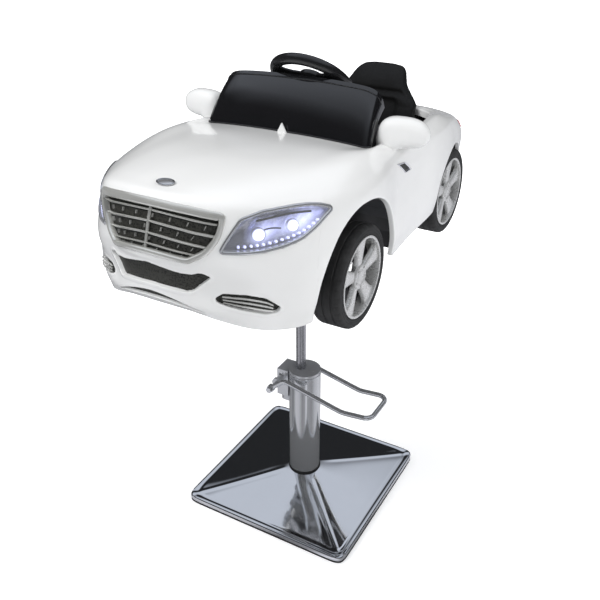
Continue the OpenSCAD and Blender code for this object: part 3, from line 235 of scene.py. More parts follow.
def honeycomb(name, color, size):
    """Dark moulded mesh: round pits in a staggered pattern, painted darker inside as painted shade in the
    holes
    """
    paint = Paint(name)
    pit = paint.cells(1 / size, "F1")
    # The pits are painted darker than the webs between them: painted shade in the holes
    tone = paint.mix(paint.band(pit, 0.25, 0.5), shade(color, 0.25), shade(color, 1.6))
    paint.set(Base_Color=tone, Roughness=0.5,
              Normal=paint.bump(paint.band(pit, 0.2, 0.55), 0.8 * MM, 0.8))
    return paint.material


def lit(name, color, glow, strength):
    """A lit lamp: brighter in its middle cells than round them"""
    paint = Paint(name)
    sparkle = paint.noise(160, 2)
    paint.set(Base_Color=color, Roughness=0.15 + 0.05 * sparkle,
              Emission_Color=paint.mix(sparkle, shade(glow, 0.75), glow), Emission_Strength=strength)
    return paint.material


WHITE = moulded("white body plastic", (0.86, 0.86, 0.85), 0.22, coat=0.6, vary=0.012)
WHITE_SMALL = moulded("white mirror plastic", (0.85, 0.85, 0.84), 0.24, coat=0.6, vary=0.012)
GREY_DECK = moulded("grey deck plastic", (0.50, 0.51, 0.52), 0.42, grain=0.06)
TUB_BLACK = moulded("grained black tub", (0.026, 0.026, 0.028), 0.50, grain=0.10, vary=0.2, dust=0.12)
LINER_BLACK = moulded("arch liner black", (0.022, 0.022, 0.023), 0.42, grain=0.08, vary=0.2, dust=0.10)
TRIM_BLACK = moulded("satin black trim", (0.016, 0.016, 0.017), 0.36, grain=0.04, vary=0.2)
SCREEN_BLACK = moulded("gloss black screen", (0.008, 0.008, 0.009), 0.07, coat=1.0, vary=0.2)
GRIP_BLACK = moulded("gloss black wheel grip", (0.012, 0.012, 0.013), 0.22, grain=0.03, coat=0.3, vary=0.2)
FRAME_BLACK = moulded("black frame paint", (0.02, 0.02, 0.021), 0.33, grain=0.05, vary=0.2, dust=0.15)
RED_SWITCH = moulded("red switch plastic", (0.45, 0.02, 0.02), 0.25, coat=0.5)
RED_LENS = moulded("red lamp lens", (0.38, 0.006, 0.008), 0.08, coat=1.0, vary=0.15)
PLATE_BLACK = moulded("black plate paint", (0.03, 0.03, 0.032), 0.5, grain=0.1, vary=0.2)
CHROME = polished("chrome plate", (0.80, 0.81, 0.83), 0.05)
TRIM_CHROME = polished("bright trim plating", (0.86, 0.86, 0.82), 0.12, smudge=0.08, tint=0.20, metal=0.62)
RIM_SILVER = polished("silver rim paint", (0.66, 0.66, 0.65), 0.26, smudge=0.10, tint=0.10, metal=0.55)
CAST_CHROME = polished("plated casting", (0.66, 0.67, 0.69), 0.20, smudge=0.10, tint=0.12, metal=0.7)
TUBE_CHROME = polished("drawn tube plating", (0.66, 0.67, 0.69), 0.09, smudge=0.05, metal=0.75)
MIRROR = polished("mirror face", (0.82, 0.84, 0.86), 0.02, smudge=0.02)
RAM_STEEL = turned("ground ram steel", (0.50, 0.50, 0.52), 0.20)
PUMP_METAL = turned("machined pump metal", (0.40, 0.41, 0.43), 0.30)
BRASS = turned("brass washer", (0.60, 0.44, 0.18), 0.25)
TYRE = tyre_rubber("tyre rubber", (0.018, 0.018, 0.018))
SOFT_RUBBER = tyre_rubber("collar rubber", (0.012, 0.012, 0.012))
LEATHER = hide("black seat leather", (0.012, 0.012, 0.012))
MESH_BLACK = honeycomb("black grille mesh", (0.026, 0.026, 0.022), 0.0036)
LED_LIT = lit("lit lamp row", (0.70, 0.74, 1.0), (0.66, 0.68, 1.0), 0.9)


# Mesh builders
def piece(name, points, faces, material, slot, *stands_for, body="car", sharp=None):
    """A finished piece that rides on its body and stands for pieces of the frame.
    Edges that bend by more than sharp degrees stay crisp"""
    mesh = bpy.data.meshes.new(name)
    mesh.from_pydata(points.reshape(-1, 3).tolist(), [], [list(map(int, f)) for f in faces])
    mesh.update()
    mesh.polygons.foreach_set("use_smooth", np.full(len(mesh.polygons), True))
    if sharp:
        mesh.set_sharp_from_angle(angle=math.radians(sharp))
    obj = bpy.data.objects.new(name, mesh)
    bpy.context.scene.collection.objects.link(obj)
    obj.data.materials.append(material)
    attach(obj, body)
    if stands_for:
        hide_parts(*stands_for)
    return obj


def grid_faces(n, m, wrap=False, close=False):
    """Quads over points [i, j]; wrap joins the last i to the first, close the last j to the first"""
    i, j = np.meshgrid(np.arange(n if wrap else n - 1), np.arange(m if close else m - 1), indexing="ij")
    i, j = i.ravel(), j.ravel()
    i2, j2 = (i + 1) % n, (j + 1) % m
    return np.stack([i * m + j, i2 * m + j, i2 * m + j2, i * m + j2], 1)


def capped_faces(n, m):
    """Quads over m rings of n points, and one face over each end"""
    low_ring, high_ring = [k * m for k in range(n)], [k * m + m - 1 for k in range(n)]
    return list(grid_faces(n, m, True)) + [low_ring[::-1], high_ring]


class Parts:
    """Several meshes gathered into one"""

    def __init__(self):
        self.points, self.faces, self.count = [], [], 0

    def add(self, points, faces):
        points = points.reshape(-1, 3)
        self.faces += [[int(v) + self.count for v in f] for f in faces]
        self.points.append(points)
        self.count += len(points)
        return self

    def grid(self, points, wrap=False):
        return self.add(points, grid_faces(*points.shape[:2], wrap))

    def loft(self, rings):
        """A closed body over rings, which are stacked along the second axis"""
        rings = np.stack(rings, 1)
        return self.add(rings, capped_faces(*rings.shape[:2]))

    def mirrored(self):
        """The same again on the other side, with its faces turned to point outwards"""
        return self.add(np.concatenate(self.points) * FLIP, [f[::-1] for f in self.faces])

    def make(self, name, material, slot, *stands_for, **words):
        return piece(name, np.concatenate(self.points), self.faces, material, slot, *stands_for, **words)


def unit(vectors):
    return vectors / np.maximum(np.linalg.norm(vectors, axis=-1, keepdims=True), 1e-12)


def ease(t):
    """A smooth step from 0 to 1"""
    t = np.clip(t, 0, 1)
    return t * t * (3 - 2 * t)


def full_turn(count):
    """Angles spaced evenly once round"""
    return np.linspace(0, 2 * math.pi, count, endpoint=False)


def squared(wave, power):
    """A sine or cosine bent towards a square wave"""
    return np.sign(wave) * np.abs(wave) ** power


def blend4(a, b, c, d, t):
    """The Catmull-Rom curve from b to c"""
    return (2 * b + (c - a) * t + (2 * a - 5 * b + 4 * c - d) * t**2 + (3 * b - a - 3 * c + d) * t**3) / 2


def smooth_path(points, count):
    """A Catmull-Rom curve through a few points, as count places"""
    t = np.linspace(0, len(points) - 1, count)
    i = np.minimum(t.astype(int), len(points) - 2)
    ends = np.concatenate([[2 * points[0] - points[1]], points, [2 * points[-1] - points[-2]]])
    return blend4(*(ends[i + k] for k in range(4)), (t - i)[:, None])


def tube(path, radius, sides, closed=False):
    """A round tube along a path: circles square to it; open ends close with small domes"""
    radius = np.broadcast_to(radius, len(path))
    if closed:
        ahead = unit(np.roll(path, -1, 0) - np.roll(path, 1, 0))
    else:
        first, last = unit(path[1] - path[0]), unit(path[-1] - path[-2])
        dome = np.radians([0, 30, 60, 80])
        cut, shrink = np.sin(dome), np.cos(dome)
        head = [path[0] - first * radius[0] * c * 0.5 for c in cut[::-1]]
        tail = [path[-1] + last * radius[-1] * c * 0.5 for c in cut]
        radius = np.concatenate([radius[0] * shrink[::-1], radius[1:-1], radius[-1] * shrink])
        path = np.concatenate([head, path[1:-1], tail])
        ahead = unit(np.gradient(path, axis=0))
    side = unit(np.cross(Z, ahead))
    turn = full_turn(sides)[:, None, None]
    ring = path + radius[:, None] * (np.cos(turn) * side + np.sin(turn) * np.cross(ahead, side))
    count = len(path)
    return ring, grid_faces(sides, count, True, True) if closed else capped_faces(sides, count)


def spun(profile, turns):
    """A profile of (radius, height) in mm turned about +Z; listed upwards on the outside"""
    radius, height = np.array(profile, float).T * MM
    angle = full_turn(turns)[:, None]
    return np.stack([radius * np.cos(angle), radius * np.sin(angle), height + 0 * angle], -1)


def rounded(profile, radius):
    """A polyline of (radius, height) with its inner corners turned to small arcs"""
    profile = np.array(profile, float)
    out = [profile[0]]
    for before, corner, after in zip(profile[:-2], profile[1:-1], profile[2:]):
        back, on = before - corner, after - corner
        reach = min(radius, np.linalg.norm(back) * 0.45, np.linalg.norm(on) * 0.45)
        a, b = corner + unit(back) * reach, corner + unit(on) * reach
        t = np.linspace(0, 1, 5)[:, None]
        out += list((1 - t) ** 2 * a + 2 * t * (1 - t) * corner + t**2 * b)
    out.append(profile[-1])
    return np.array(out)


def moved(points, origin, *axes):
    """Points in a local frame of three axes, placed in the shared frame"""
    return origin + points @ np.array(axes)


# The body's own surface: the same feature lines as the part's source
HALF_W, MID_Y, HEM_Z, BODY_H = 0.305, -0.040, 0.862, 0.300
HALF_L = 1.160 / 2.055
FRONT_Y, REAR_Y, WHEEL_Z = -0.237, 0.367, 0.890
X_SHARES = np.array([
    [0, .24, .45, .64, .82, .91, .955, .96, .93, .91, .915, .88, .765, .5, 0],
    [0, .23, .41, .64, .85, .94, .985, .98, .945, .925, .94, .9, .785, .51, 0],
    [0, .22, .37, .64, .86, .955, .99, .985, .945, .93, .945, .91, .795, .52, 0],
    [0, .22, .41, .65, .86, .96, .995, .99, .94, .925, .95, .915, .805, .52, 0],
    [0, .18, .34, .62, .85, .955, .995, .985, .935, .92, .95, .915, .805, .52, 0],
    [0, .25, .47, .67, .83, .93, .975, .965, .93, .92, .94, .9, .785, .51, 0],
    [0, .24, .46, .64, .78, .87, .905, .9, .895, .895, .91, .86, .745, .48, 0],
    [0, .22, .43, .6, .73, .81, .84, .84, .85, .86, .865, .8, .675, .46, 0],
    [0, .2, .4, .58, .71, .77, .79, .79, .805, .82, .82, .77, .655, .43, 0],
    [0, .18, .38, .57, .69, .735, .75, .755, .765, .785, .78, .72, .615, .4, 0]])
Y_SHARES = np.array([
    [-.965, -.95, -.91, -.83, -.72, -.58, -.40, -.21, -.02, .21, .45, .68, .94, 1.00, 1.015],
    [-.99, -.98, -.94, -.855, -.735, -.585, -.40, -.21, -.02, .21, .45, .69, .955, 1.015, 1.03],
    [-1, -.985, -.94, -.85, -.73, -.58, -.40, -.21, -.02, .21, .45, .70, .965, 1.03, 1.045],
    [-1, -.985, -.94, -.86, -.73, -.58, -.40, -.21, -.02, .21, .45, .70, .97, 1.03, 1.045],
    [-1.01, -1, -.96, -.86, -.72, -.57, -.40, -.21, -.02, .21, .45, .70, .97, 1.03, 1.045],
    [-.95, -.94, -.90, -.79, -.66, -.53, -.38, -.21, -.02, .21, .45, .69, .95, 1.015, 1.03],
    [-.87, -.86, -.82, -.71, -.58, -.47, -.35, -.20, -.02, .21, .44, .67, .91, .98, .995],
    [-.61, -.60, -.57, -.51, -.42, -.34, -.26, -.15, -.01, .20, .43, .65, .86, .93, .945],
    [-.33, -.33, -.31, -.28, -.23, -.19, -.14, -.08, .02, .19, .41, .63, .81, .885, .895],
    [-.085, -.085, -.085, -.083, -.08, -.055, -.02, .02, .07, .18, .39, .61, .77, .85, .86]])
Z_SHARES = np.array([
    [.19, .17, .11, .03, 0, .01, .02, .02, .02, .03, .05, .06, .08, .1, .1],
    [.25, .24, .21, .18, .16, .16, .16, .16, .16, .17, .18, .19, .21, .22, .22],
    [.37, .36, .32, .31, .3, .29, .29, .29, .3, .3, .31, .32, .33, .34, .34],
    [.5, .5, .49, .45, .42, .41, .42, .43, .43, .43, .44, .45, .46, .46, .46],
    [.61, .61, .61, .58, .56, .56, .57, .58, .58, .57, .57, .57, .55, .55, .55],
    [.9, .89, .86, .81, .79, .77, .76, .75, .72, .7, .69, .68, .635, .635, .635],
    [.96, .96, .94, .91, .885, .87, .86, .855, .83, .81, .8, .78, .715, .715, .715],
    [1, .995, .985, .965, .95, .935, .92, .91, .88, .865, .85, .83, .75, .75, .75],
    [.97, .97, .965, .955, .95, .94, .93, .92, .895, .88, .865, .845, .775, .77, .77],
    [.92, .92, .915, .905, .895, .895, .895, .895, .885, .875, .86, .84, .785, .77, .77]])
TAIL, RING, TOP = 14, 28, 9
quarter = np.stack([X_SHARES * HALF_W, MID_Y + HALF_L * Y_SHARES, HEM_Z + BODY_H * Z_SHARES], -1)
KNOTS = np.concatenate([quarter, quarter[:, -2:0:-1] * FLIP], 1)
KNOTS = np.concatenate([[2 * KNOTS[0] - KNOTS[1]], KNOTS, [2 * KNOTS[-1] - KNOTS[-2]]])
NUDGE = 0.02


def surf(u, v):
    """The body's outer surface: u runs round it by columns, v up it by rows"""
    u, v = np.broadcast_arrays(np.asarray(u, float), np.asarray(v, float))
    iu = np.floor(u).astype(int)
    iv = np.clip(np.floor(v).astype(int), 0, TOP - 1)
    fu, fv = (u - iu)[..., None], (v - iv)[..., None]
    rows = [blend4(*(KNOTS[iv + r, (iu + k) % RING] for k in (-1, 0, 1, 2)), fu) for r in range(4)]
    return blend4(*rows, fv)


def slopes(u, v):
    """How the surface moves with u and with v"""
    high, low = np.minimum(v + NUDGE, TOP), np.maximum(v - NUDGE, 0)
    return ((surf(u + NUDGE, v) - surf(u - NUDGE, v)) / (2 * NUDGE),
            (surf(u, high) - surf(u, low)) / np.asarray(high - low)[..., None])


def outward(u, v):
    """The unit direction out of the body"""
    return unit(np.cross(*slopes(u, v)))


def skin(place, height):
    """Points at a height in mm over places (u, v) of the body"""
    u, v = place[..., 0], place[..., 1]
    return surf(u, v) + np.asarray(height * MM)[..., None] * outward(u, v)


def standing(points, u, v):
    """Local points stood on the body, their third axis pointing outwards"""
    centre, out = surf(u, v), outward(u, v)
    side = unit(np.cross(out, Z))
    return moved(points, centre, side, np.cross(out, side), out)


def crosses(flat, outline):
    """True where the flat places lie inside a closed outline, by counting crossings"""
    inside = np.zeros(len(flat), bool)
    x, y = flat.T
    for (x1, y1), (x2, y2) in zip(outline, np.roll(outline, -1, 0)):
        if y1 != y2:
            inside ^= ((y1 > y) != (y2 > y)) & (x < (x2 - x1) * (y - y1) / (y2 - y1) + x1)
    return inside


def resample(outline, count):
    """A closed outline of places, evenly spaced in real length, anticlockwise from outside"""
    u, v = outline.T
    if np.sum(u * np.roll(v, -1) - np.roll(u, -1) * v) < 0:
        outline = outline[::-1]
    closed = np.concatenate([outline, outline[:1]])
    steps = np.linalg.norm(np.diff(surf(*closed.T), axis=0), axis=1)
    run = np.concatenate([[0], np.cumsum(steps)])
    at = np.linspace(0, run[-1], count, endpoint=False)
    return np.stack([np.interp(at, run, values) for values in closed.T], 1)


def beside(outline, distance):
    """The places at a real distance in mm outside an outline (inside where negative)"""
    along, up = slopes(*outline.T)
    place = surf(*outline.T)
    ahead = np.roll(place, -1, 0) - np.roll(place, 1, 0)
    side = unit(np.cross(ahead, unit(np.cross(along, up))))
    a, b, c = (np.sum(x * y, -1) for x, y in ((along, along), (along, up), (up, up)))
    p, q = np.sum(along * side, -1), np.sum(up * side, -1)
    shift = np.stack([p * c - q * b, q * a - p * b], 1) / (a * c - b * b)[:, None]
    return outline + shift * (np.reshape(distance, (-1, 1)) * MM)


def edging(outline, profile):
    """A strip round a closed outline; the profile lists mm (outside it, above the body)"""
    return np.stack([skin(beside(outline, reach), height) for reach, height in profile], 1)


def lip_profile(soft, deep):
    """A flange lying on the body that rolls over the edge and runs down into the opening"""
    lift, quarter_turn = 0.15, np.linspace(0, math.pi / 2, 6)
    roll = [(soft - soft * math.sin(a), soft * math.cos(a) - soft + lift) for a in quarter_turn]
    return [(9, -0.5), (8, 0.12), (soft + 1, lift)] + roll + [(0, -deep)]


# Outlines on the body: each rule turns (side, height) into places
def between(lower, upper, along, u, w):
    """Places at share w of the way from a lower to an upper border"""
    low, high = np.interp(along, *lower.T), np.interp(along, *upper.T)
    return np.stack([u, low + w * (high - low)], -1)


GRILLE_SIDES = np.array([[3.6, 1.7], [3.75, 1.75], [3.9, 2.05], [4.1, 2.2], [4.45, 2.25], [4.9, 2.05],
                         [5, 2.02]])


def grille_at(a, w):
    """The grille opening, which hangs lower at its middle"""
    low = 3.95 - 0.33 * a * a
    v = low + w * (5 - low)
    return np.stack([a * np.interp(v, *GRILLE_SIDES.T), v], -1)


LAMP_LOW = np.array([[0, 4.12], [.17, 4.13], [.33, 4.18], [.5, 4.28], [.67, 4.42], [.83, 4.66], [1, 5]])
LAMP_HIGH = np.array([[0, 4.9], [.17, 5.2], [.33, 5.3], [.5, 5.35], [.67, 5.33], [.83, 5.24], [1, 5.06]])


def lamp_at(a, w):
    """The left lamp, from its inner end (0) to its outer end (1)"""
    return between(LAMP_LOW, LAMP_HIGH, a, 2.45 + 2.17 * a, w)


INTAKE_HIGH = np.array([[0, 3.1], [.45, 2.8], [.74, 2.78], [.84, 2.9], [1, 2.74]])
INTAKE_LOW = np.array([[0, 1.9], [.27, 1.85], [.6, 1.85], [.8, 2.05], [1, 2.66]])


def intake_at(a, w):
    """The wide lower opening"""
    return between(INTAKE_LOW, INTAKE_HIGH, np.abs(a), 2 * a, w)


FOG_LOW = np.array([[2.18, 1.6], [2.35, 1.38], [2.68, 1.12], [3.18, .88], [3.43, .95], [3.5, 1.1]])
FOG_HIGH = np.array([[2.18, 1.8], [2.35, 2.05], [2.78, 1.98], [3.18, 1.75], [3.5, 1.25]])


def fog_at(a, w):
    """The left opening beside it, from its inner end (0) to its outer end (1)"""
    u = 2.18 + 1.32 * a
    return between(FOG_LOW, FOG_HIGH, u, u, w)


def slit_at(a, w):
    """The bowed slit under the wide opening"""
    u = 1.6 * a
    return np.stack([u, 1.24 - 0.25 * u * u + (w - 0.5) * 0.36 * (1.25 - 0.7 * np.abs(a))], -1)


def outline_of(at, left=-1.0, count=240, soften=2):
    """The border of a region, with its corners softened by averaging"""
    a, w = np.linspace(left, 1, 60), np.linspace(0, 1, 12)
    sides = [at(a, 0 * a), at(1 + 0 * w, w)[1:-1], at(a[::-1], 1 + 0 * a),
             at(left + 0 * w, w[::-1])[1:-1]]
    even = resample(np.concatenate(sides), count)
    for _ in range(soften):
        even = (np.roll(even, 1, 0) + 2 * even + np.roll(even, -1, 0)) / 4
    return even


def on_right(outline):
    """The same outline on the other flank, still anticlockwise from outside"""
    return (outline * FLIP[:2])[::-1]


GRILLE = outline_of(grille_at, soften=10)
LAMP = outline_of(lamp_at, 0.0, 220, 3)
INTAKE = outline_of(intake_at, soften=4)
FOG = outline_of(fog_at, 0.0, 140, 3)
SLIT = outline_of(slit_at, count=200)


# Wheel arches: middle, reach ahead, reach behind, rise
ARCHES = {"front": (FRONT_Y - 0.025, 0.162, 0.206, 0.188), "rear": (REAR_Y, 0.140, 0.140, 0.140)}
ARCH_TOP = 6


def reached(value_at, target, low, high):
    """The parameter at which a rising value reaches its target, by halving"""
    low, high = np.full(np.shape(target), float(low)), np.full(np.shape(target), float(high))
    for _ in range(26):
        mid = (low + high) / 2
        short = value_at(mid) < target
        low, high = np.where(short, mid, low), np.where(short, high, mid)
    return (low + high) / 2


def arch_places(which, count):
    """The arch on the left flank as places; column and row settle in turns"""
    mid, ahead, behind, rise = ARCHES[which]
    turn = np.radians(np.linspace(0, 180, count))
    y = mid - np.where(turn < math.pi / 2, ahead, behind) * np.cos(turn)
    z = WHEEL_Z + rise * np.sin(turn)
    v = np.ones(count)
    for _ in range(5):
        u = reached(lambda u: surf(u, v)[..., 1], y, 1, TAIL - 1)
        v = reached(lambda v: surf(u, v)[..., 2], z, 0, ARCH_TOP)
    return np.stack([u, v], -1)


def body_columns():
    """Columns (u, first row) once round the body: hem, arch, sill, arch, tail, and back"""
    front, rear = arch_places("front", 86), arch_places("rear", 70)
    ends = ((0, front[0, 0], 116), (front[-1, 0], rear[0, 0], 52), (rear[-1, 0], TAIL, 56))
    spans = []
    for start, end, count in ends:
        u = np.linspace(start, end, count)
        spans.append(np.stack([u, 0 * u], -1))
    clear = 0.003
    for k in (0, 1):
        spans[k][-1, 0] -= clear
        spans[k + 1][0, 0] += clear
    left = np.concatenate([spans[0], front, spans[1], rear, spans[2]])
    return np.concatenate([left, left[-2:0:-1] * FLIP[:2] + np.array([RING, 0])])


def near_outline(place, flat, outline):
    """Real distance of surface points from an outline, negative inside; far where out of reach"""
    low, high = outline.min(0) - 0.5, outline.max(0) + 0.5
    close = np.all((flat > low) & (flat < high), axis=1)
    out = np.full(len(flat), 1.0)
    gap = np.linalg.norm(place[close][:, None] - surf(*outline.T)[None], axis=2).min(1)
    out[close] = np.where(crosses(flat[close], outline), -gap, gap)
    return out


# Pockets behind the front openings: outline and depth in mm
POCKETS = [(GRILLE, 26), (LAMP, 28), (on_right(LAMP), 28), (INTAKE, 26), (FOG, 20), (on_right(FOG), 20),
           (SLIT, 16)]
POCKET_MARGIN = 0.4 * MM


def roll_rows(edge, out, radius, deep):
    """Rows of points that roll over from an edge and run on, in mm"""
    side = unit(np.cross(np.roll(edge, -1, 0) - np.roll(edge, 1, 0), out))
    turns = np.radians([25, 50, 72, 90])
    rows = [edge + radius * MM * (np.sin(t) * side - (1 - np.cos(t)) * out) for t in turns]
    return rows + [rows[-1] - deep * MM * out]


def build_body():
    """The shell: an even grid over the feature lines. The front openings are pressed in as pockets,
    and the hem, arches and cockpit edge roll inwards"""
    columns, rows = body_columns(), np.linspace(0, 1, 104)
    u = np.repeat(columns[:, :1], len(rows), 1)
    v = columns[:, 1:] + rows * (TOP - columns[:, 1:])
    flat = np.stack([u - RING * (u > TAIL), v], -1).reshape(-1, 2)
    place, normal = surf(u, v), outward(u, v)
    push = np.zeros(len(flat))
    for outline, depth in POCKETS:
        gap = near_outline(place.reshape(-1, 3), flat, outline)
        push = np.minimum(push, np.where(gap < POCKET_MARGIN, -depth * MM, 0))
    grid = place + push.reshape(u.shape)[..., None] * normal
    hem = roll_rows(grid[:, 0], normal[:, 0], 3.5, 9)
    cockpit = [row[::-1] for row in roll_rows(grid[::-1, -1], normal[::-1, -1], 5, 14)]
    grid = np.concatenate([np.stack(hem[::-1], 1), grid, np.stack(cockpit, 1)], 1)
    Parts().grid(grid, wrap=True).make("body_skin", WHITE, "white_body", "body_shell", sharp=50)


def build_edgings():
    """White lips that roll from the body into the lower openings"""
    lips = Parts()
    for outline, soft, deep in ((INTAKE, 2, 13), (FOG, 2, 13), (on_right(FOG), 2, 13), (SLIT, 1, 10)):
        lips.grid(edging(outline, lip_profile(soft, deep)), wrap=True)
    lips.make("opening_lips", WHITE, "white_body", sharp=60)


def sheet_over(at, low_a, high_a, n, m, height):
    """A grid over a region given by (side, height), at a height in mm above the body"""
    a, w = np.meshgrid(np.linspace(low_a, high_a, n), np.linspace(0, 1, m), indexing="ij")
    return skin(at(a, w), height(a, w) if callable(height) else height)


def build_front_mesh():
    """Dark meshes set back in the grille and in the lower openings"""
    grille = Parts().grid(sheet_over(grille_at, -1, 1, 90, 30, -11))
    grille.make("grille_mesh_panel", MESH_BLACK, "black_trim", "grille_mesh")
    vents = Parts().grid(sheet_over(intake_at, -1, 1, 90, 20, -9))
    vents.grid(sheet_over(fog_at, 0, 1, 40, 16, -10))
    vents.grid(sheet_over(lambda a, w: fog_at(a, w) * FLIP[:2], 1, 0, 40, 16, -10))
    vents.grid(sheet_over(slit_at, -1, 1, 60, 4, -6))
    vents.make("vent_mesh_panels", MESH_BLACK, "black_trim", "lower_vents", "lip_trim")


# Grille sections: surround (mm outside its outline, mm above the body), bars and upright (share of the
# opening, mm above the body), and the corners of a pip (shares)
SURROUND = [(6, -2), (6, 1.0), (4.4, 2.8), (1.8, 3.8), (-2, 3.6), (-4, 2.4), (-5, -1), (-5, -10)]
BAR = [(-0.028, -9), (-0.026, -5.6), (-0.016, -5.0), (-0.010, -5.6), (-0.006, -3.0), (0.001, -2.2),
       (0.008, -3.0), (0.010, -9)]
UPRIGHT = [(-0.014, -8), (-0.011, -2.4), (0, -1.2), (0.011, -2.4), (0.014, -8)]
PIP = np.array([(0.004, 0.034), (-0.005, 0.034), (-0.009, -0.034), (0.0, -0.034)])


def build_grille_trim():
    """Plated surround, wider along its top, with four thin bars, one upright and short slanting pips"""
    wider = 5 * np.interp(GRILLE[:, 1], [4.75, 4.98], [0, 1])
    section = [(reach - wider if reach < 0 else reach, height) for reach, height in SURROUND]
    Parts().grid(edging(GRILLE, section), wrap=True).make(
        "grille_frame", TRIM_CHROME, "chrome", "grille_surround", sharp=50)
    bars = Parts()
    across, up = np.linspace(-0.965, 0.965, 70), np.linspace(0.03, 0.97, 30)
    for w in (0.2, 0.4, 0.6, 0.8):
        bars.grid(np.stack([skin(grille_at(across, w + shift), height) for shift, height in BAR], 1))
    strips = [skin(grille_at(shift, up), height) for shift, height in UPRIGHT]
    bars.grid(np.stack(strips, 1)[::-1])
    sides = [[4, 5, 6, 7], [0, 1, 5, 4], [1, 2, 6, 5], [2, 3, 7, 6], [3, 0, 4, 7]]
    for row in range(5):
        for s in np.linspace(-0.86, 0.74, 7):
            place = grille_at(*(np.array([s + 0.10 * (row % 2), 0.1 + 0.2 * row]) + PIP).T)
            bars.add(np.concatenate([skin(place, -11), skin(place, -6.5)]), sides)
    bars.make("grille_bar_set", TRIM_CHROME, "chrome", "grille_bars", sharp=50)


def halo_paint(name, centres, base, far, near, strength, inner, outer, metal, alpha=1.0, facets=0.5):
    """A surface whose emitted glow falls off with the distance from the nearest projector. On the projectors
    it is their own light; on the bowl and the cover it is painted light from the projectors
    """
    paint = Paint(name)
    at = paint.place()
    side, up = paint.maths("ABSOLUTE", paint.axis(at, 0)), paint.axis(at, 2)
    halo = None
    for x, _, z in centres:
        dx, dz = side - float(x), up - float(z)
        close = 1 - paint.band((dx * dx + dz * dz) ** 0.5, inner, outer)
        halo = close if halo is None else halo + close - halo * close
    sparkle = paint.noise(260, 3, 0.6)
    paint.set(Base_Color=paint.mix(sparkle, shade(base, 0.55), shade(base, 1.2)), Metallic=metal,
              Roughness=0.10 + 0.10 * sparkle, Emission_Color=paint.mix(halo * halo, far, near),
              Emission_Strength=strength, Alpha=alpha,
              Normal=paint.bump(paint.cells(170), facets * MM, 0.5))
    return paint.material


# Projectors: column, row and radius in mm. Sections of ring and lens: share of the radius and height in
# mm. Section of the bezel: mm outside the lamp's outline and above the body
PROJECTORS = ((2.98, 4.55, 14), (3.65, 4.72, 13))
RING_SECTION = np.array([(0.62, -14), (1, -13), (1.02, -6), (0.95, -4.5), (0.82, -5)])
LENS_SECTION = np.array([(0.84, -7), (0.8, -4.2), (0.62, -1.8), (0.4, -0.6)])
BEZEL = [(5, -1.5), (5, 1.2), (3.4, 2.6), (0.5, 2.9), (-2, 1.6), (-3, -2), (-3, -18)]


def bowl_height(a, w):
    """Depth of the lamp's bowl in mm, with slight flutes"""
    return -15 + 5 * np.cos(6.28 * w) + 1.4 * np.cos(52 * a) * np.sin(math.pi * w)


def cover_height(a, w):
    """Swell of the clear cover in mm"""
    return 1.4 + 3.2 * np.sqrt(np.clip(np.sin(math.pi * np.clip(a, 0, 1)) * np.sin(math.pi * w), 0, 1))


def build_headlights():
    """Each lamp: a plated bowl, two lit projectors, a row of small lights and a clear cover in a bezel. The
    bowl and the cover carry a painted glow round the projectors
    """
    centres = [surf(u, v) for u, v, _ in PROJECTORS]
    # Painted light: the bowl and the cover glow round the projectors by emission, standing in for the
    # projectors' light falling on them
    bowl_paint = halo_paint("lamp bowl plating with painted glow", centres, (0.46, 0.47, 0.50), (0.0, 0.0, 0.008),
                            (0.52, 0.56, 1.0), 1.5, 0.003, 0.034, 0.75, facets=2.0)
    cover_paint = halo_paint("clear lamp cover with painted glow", centres, (0.93, 0.95, 0.98), (0.0, 0.0, 0.0),
                             (0.62, 0.68, 1.0), 6.0, 0.001, 0.021, 0.0, alpha=0.13, facets=0.05)
    glow_paint = halo_paint("lit projector", centres, (0.80, 0.86, 1.0), (0.30, 0.33, 0.90),
                            (0.95, 0.96, 1.0), 1.8, 0.002, 0.0135, 0.0)
    brow, bezel, bowl, cover, glow, row = (Parts() for _ in range(6))
    for w, low_a, high_a, radius, deep in ((0.72, 0.16, 0.74, 2.4, 8), (0.40, 0.20, 0.44, 1.6, 9)):
        a = np.linspace(low_a, high_a, 60)
        place = lamp_at(a, w + 0.06 * np.sin(math.pi * (a - low_a) / (high_a - low_a)))
        brow.add(*tube(skin(place, -deep), radius * MM, 10))
    brow.mirrored().make("lamp_brows", SCREEN_BLACK, "black_gloss")
    bezel.grid(edging(LAMP, BEZEL), wrap=True)
    bowl.grid(sheet_over(lamp_at, 0, 1, 60, 24, bowl_height))
    cover.grid(sheet_over(lamp_at, 0, 1, 48, 20, cover_height))
    for u, v, size in PROJECTORS:
        wide = np.array([size, 1])
        lens = np.concatenate([LENS_SECTION * wide, [(0.02, 0)]])
        bezel.grid(standing(spun(RING_SECTION * wide, 48), u, v), wrap=True)
        glow.grid(standing(spun(lens, 48), u, v), wrap=True)
    bead = spun([(2.7, -9), (2.7, -4), (2.2, -2.8), (1.2, -2.2), (0.02, -2.0)], 16)
    for k in range(15):
        row.grid(standing(bead, *lamp_at(0.12 + 0.052 * k, 0.13)), wrap=True)
    for parts, name, material, slot, *stands in (
            (bezel, "lamp_bezels", TUBE_CHROME, "chrome", "headlight_housings"),
            (bowl, "lamp_bowls", bowl_paint, "chrome"),
            (cover, "lamp_covers", cover_paint, "clear_lens", "headlight_lenses"),
            (glow, "lamp_projectors", glow_paint, "lamp_white", "headlight_lamps"),
            (row, "lamp_rows", LED_LIT, "lamp_white")):
        parts.mirrored().make(name, material, slot, *stands, sharp=55)


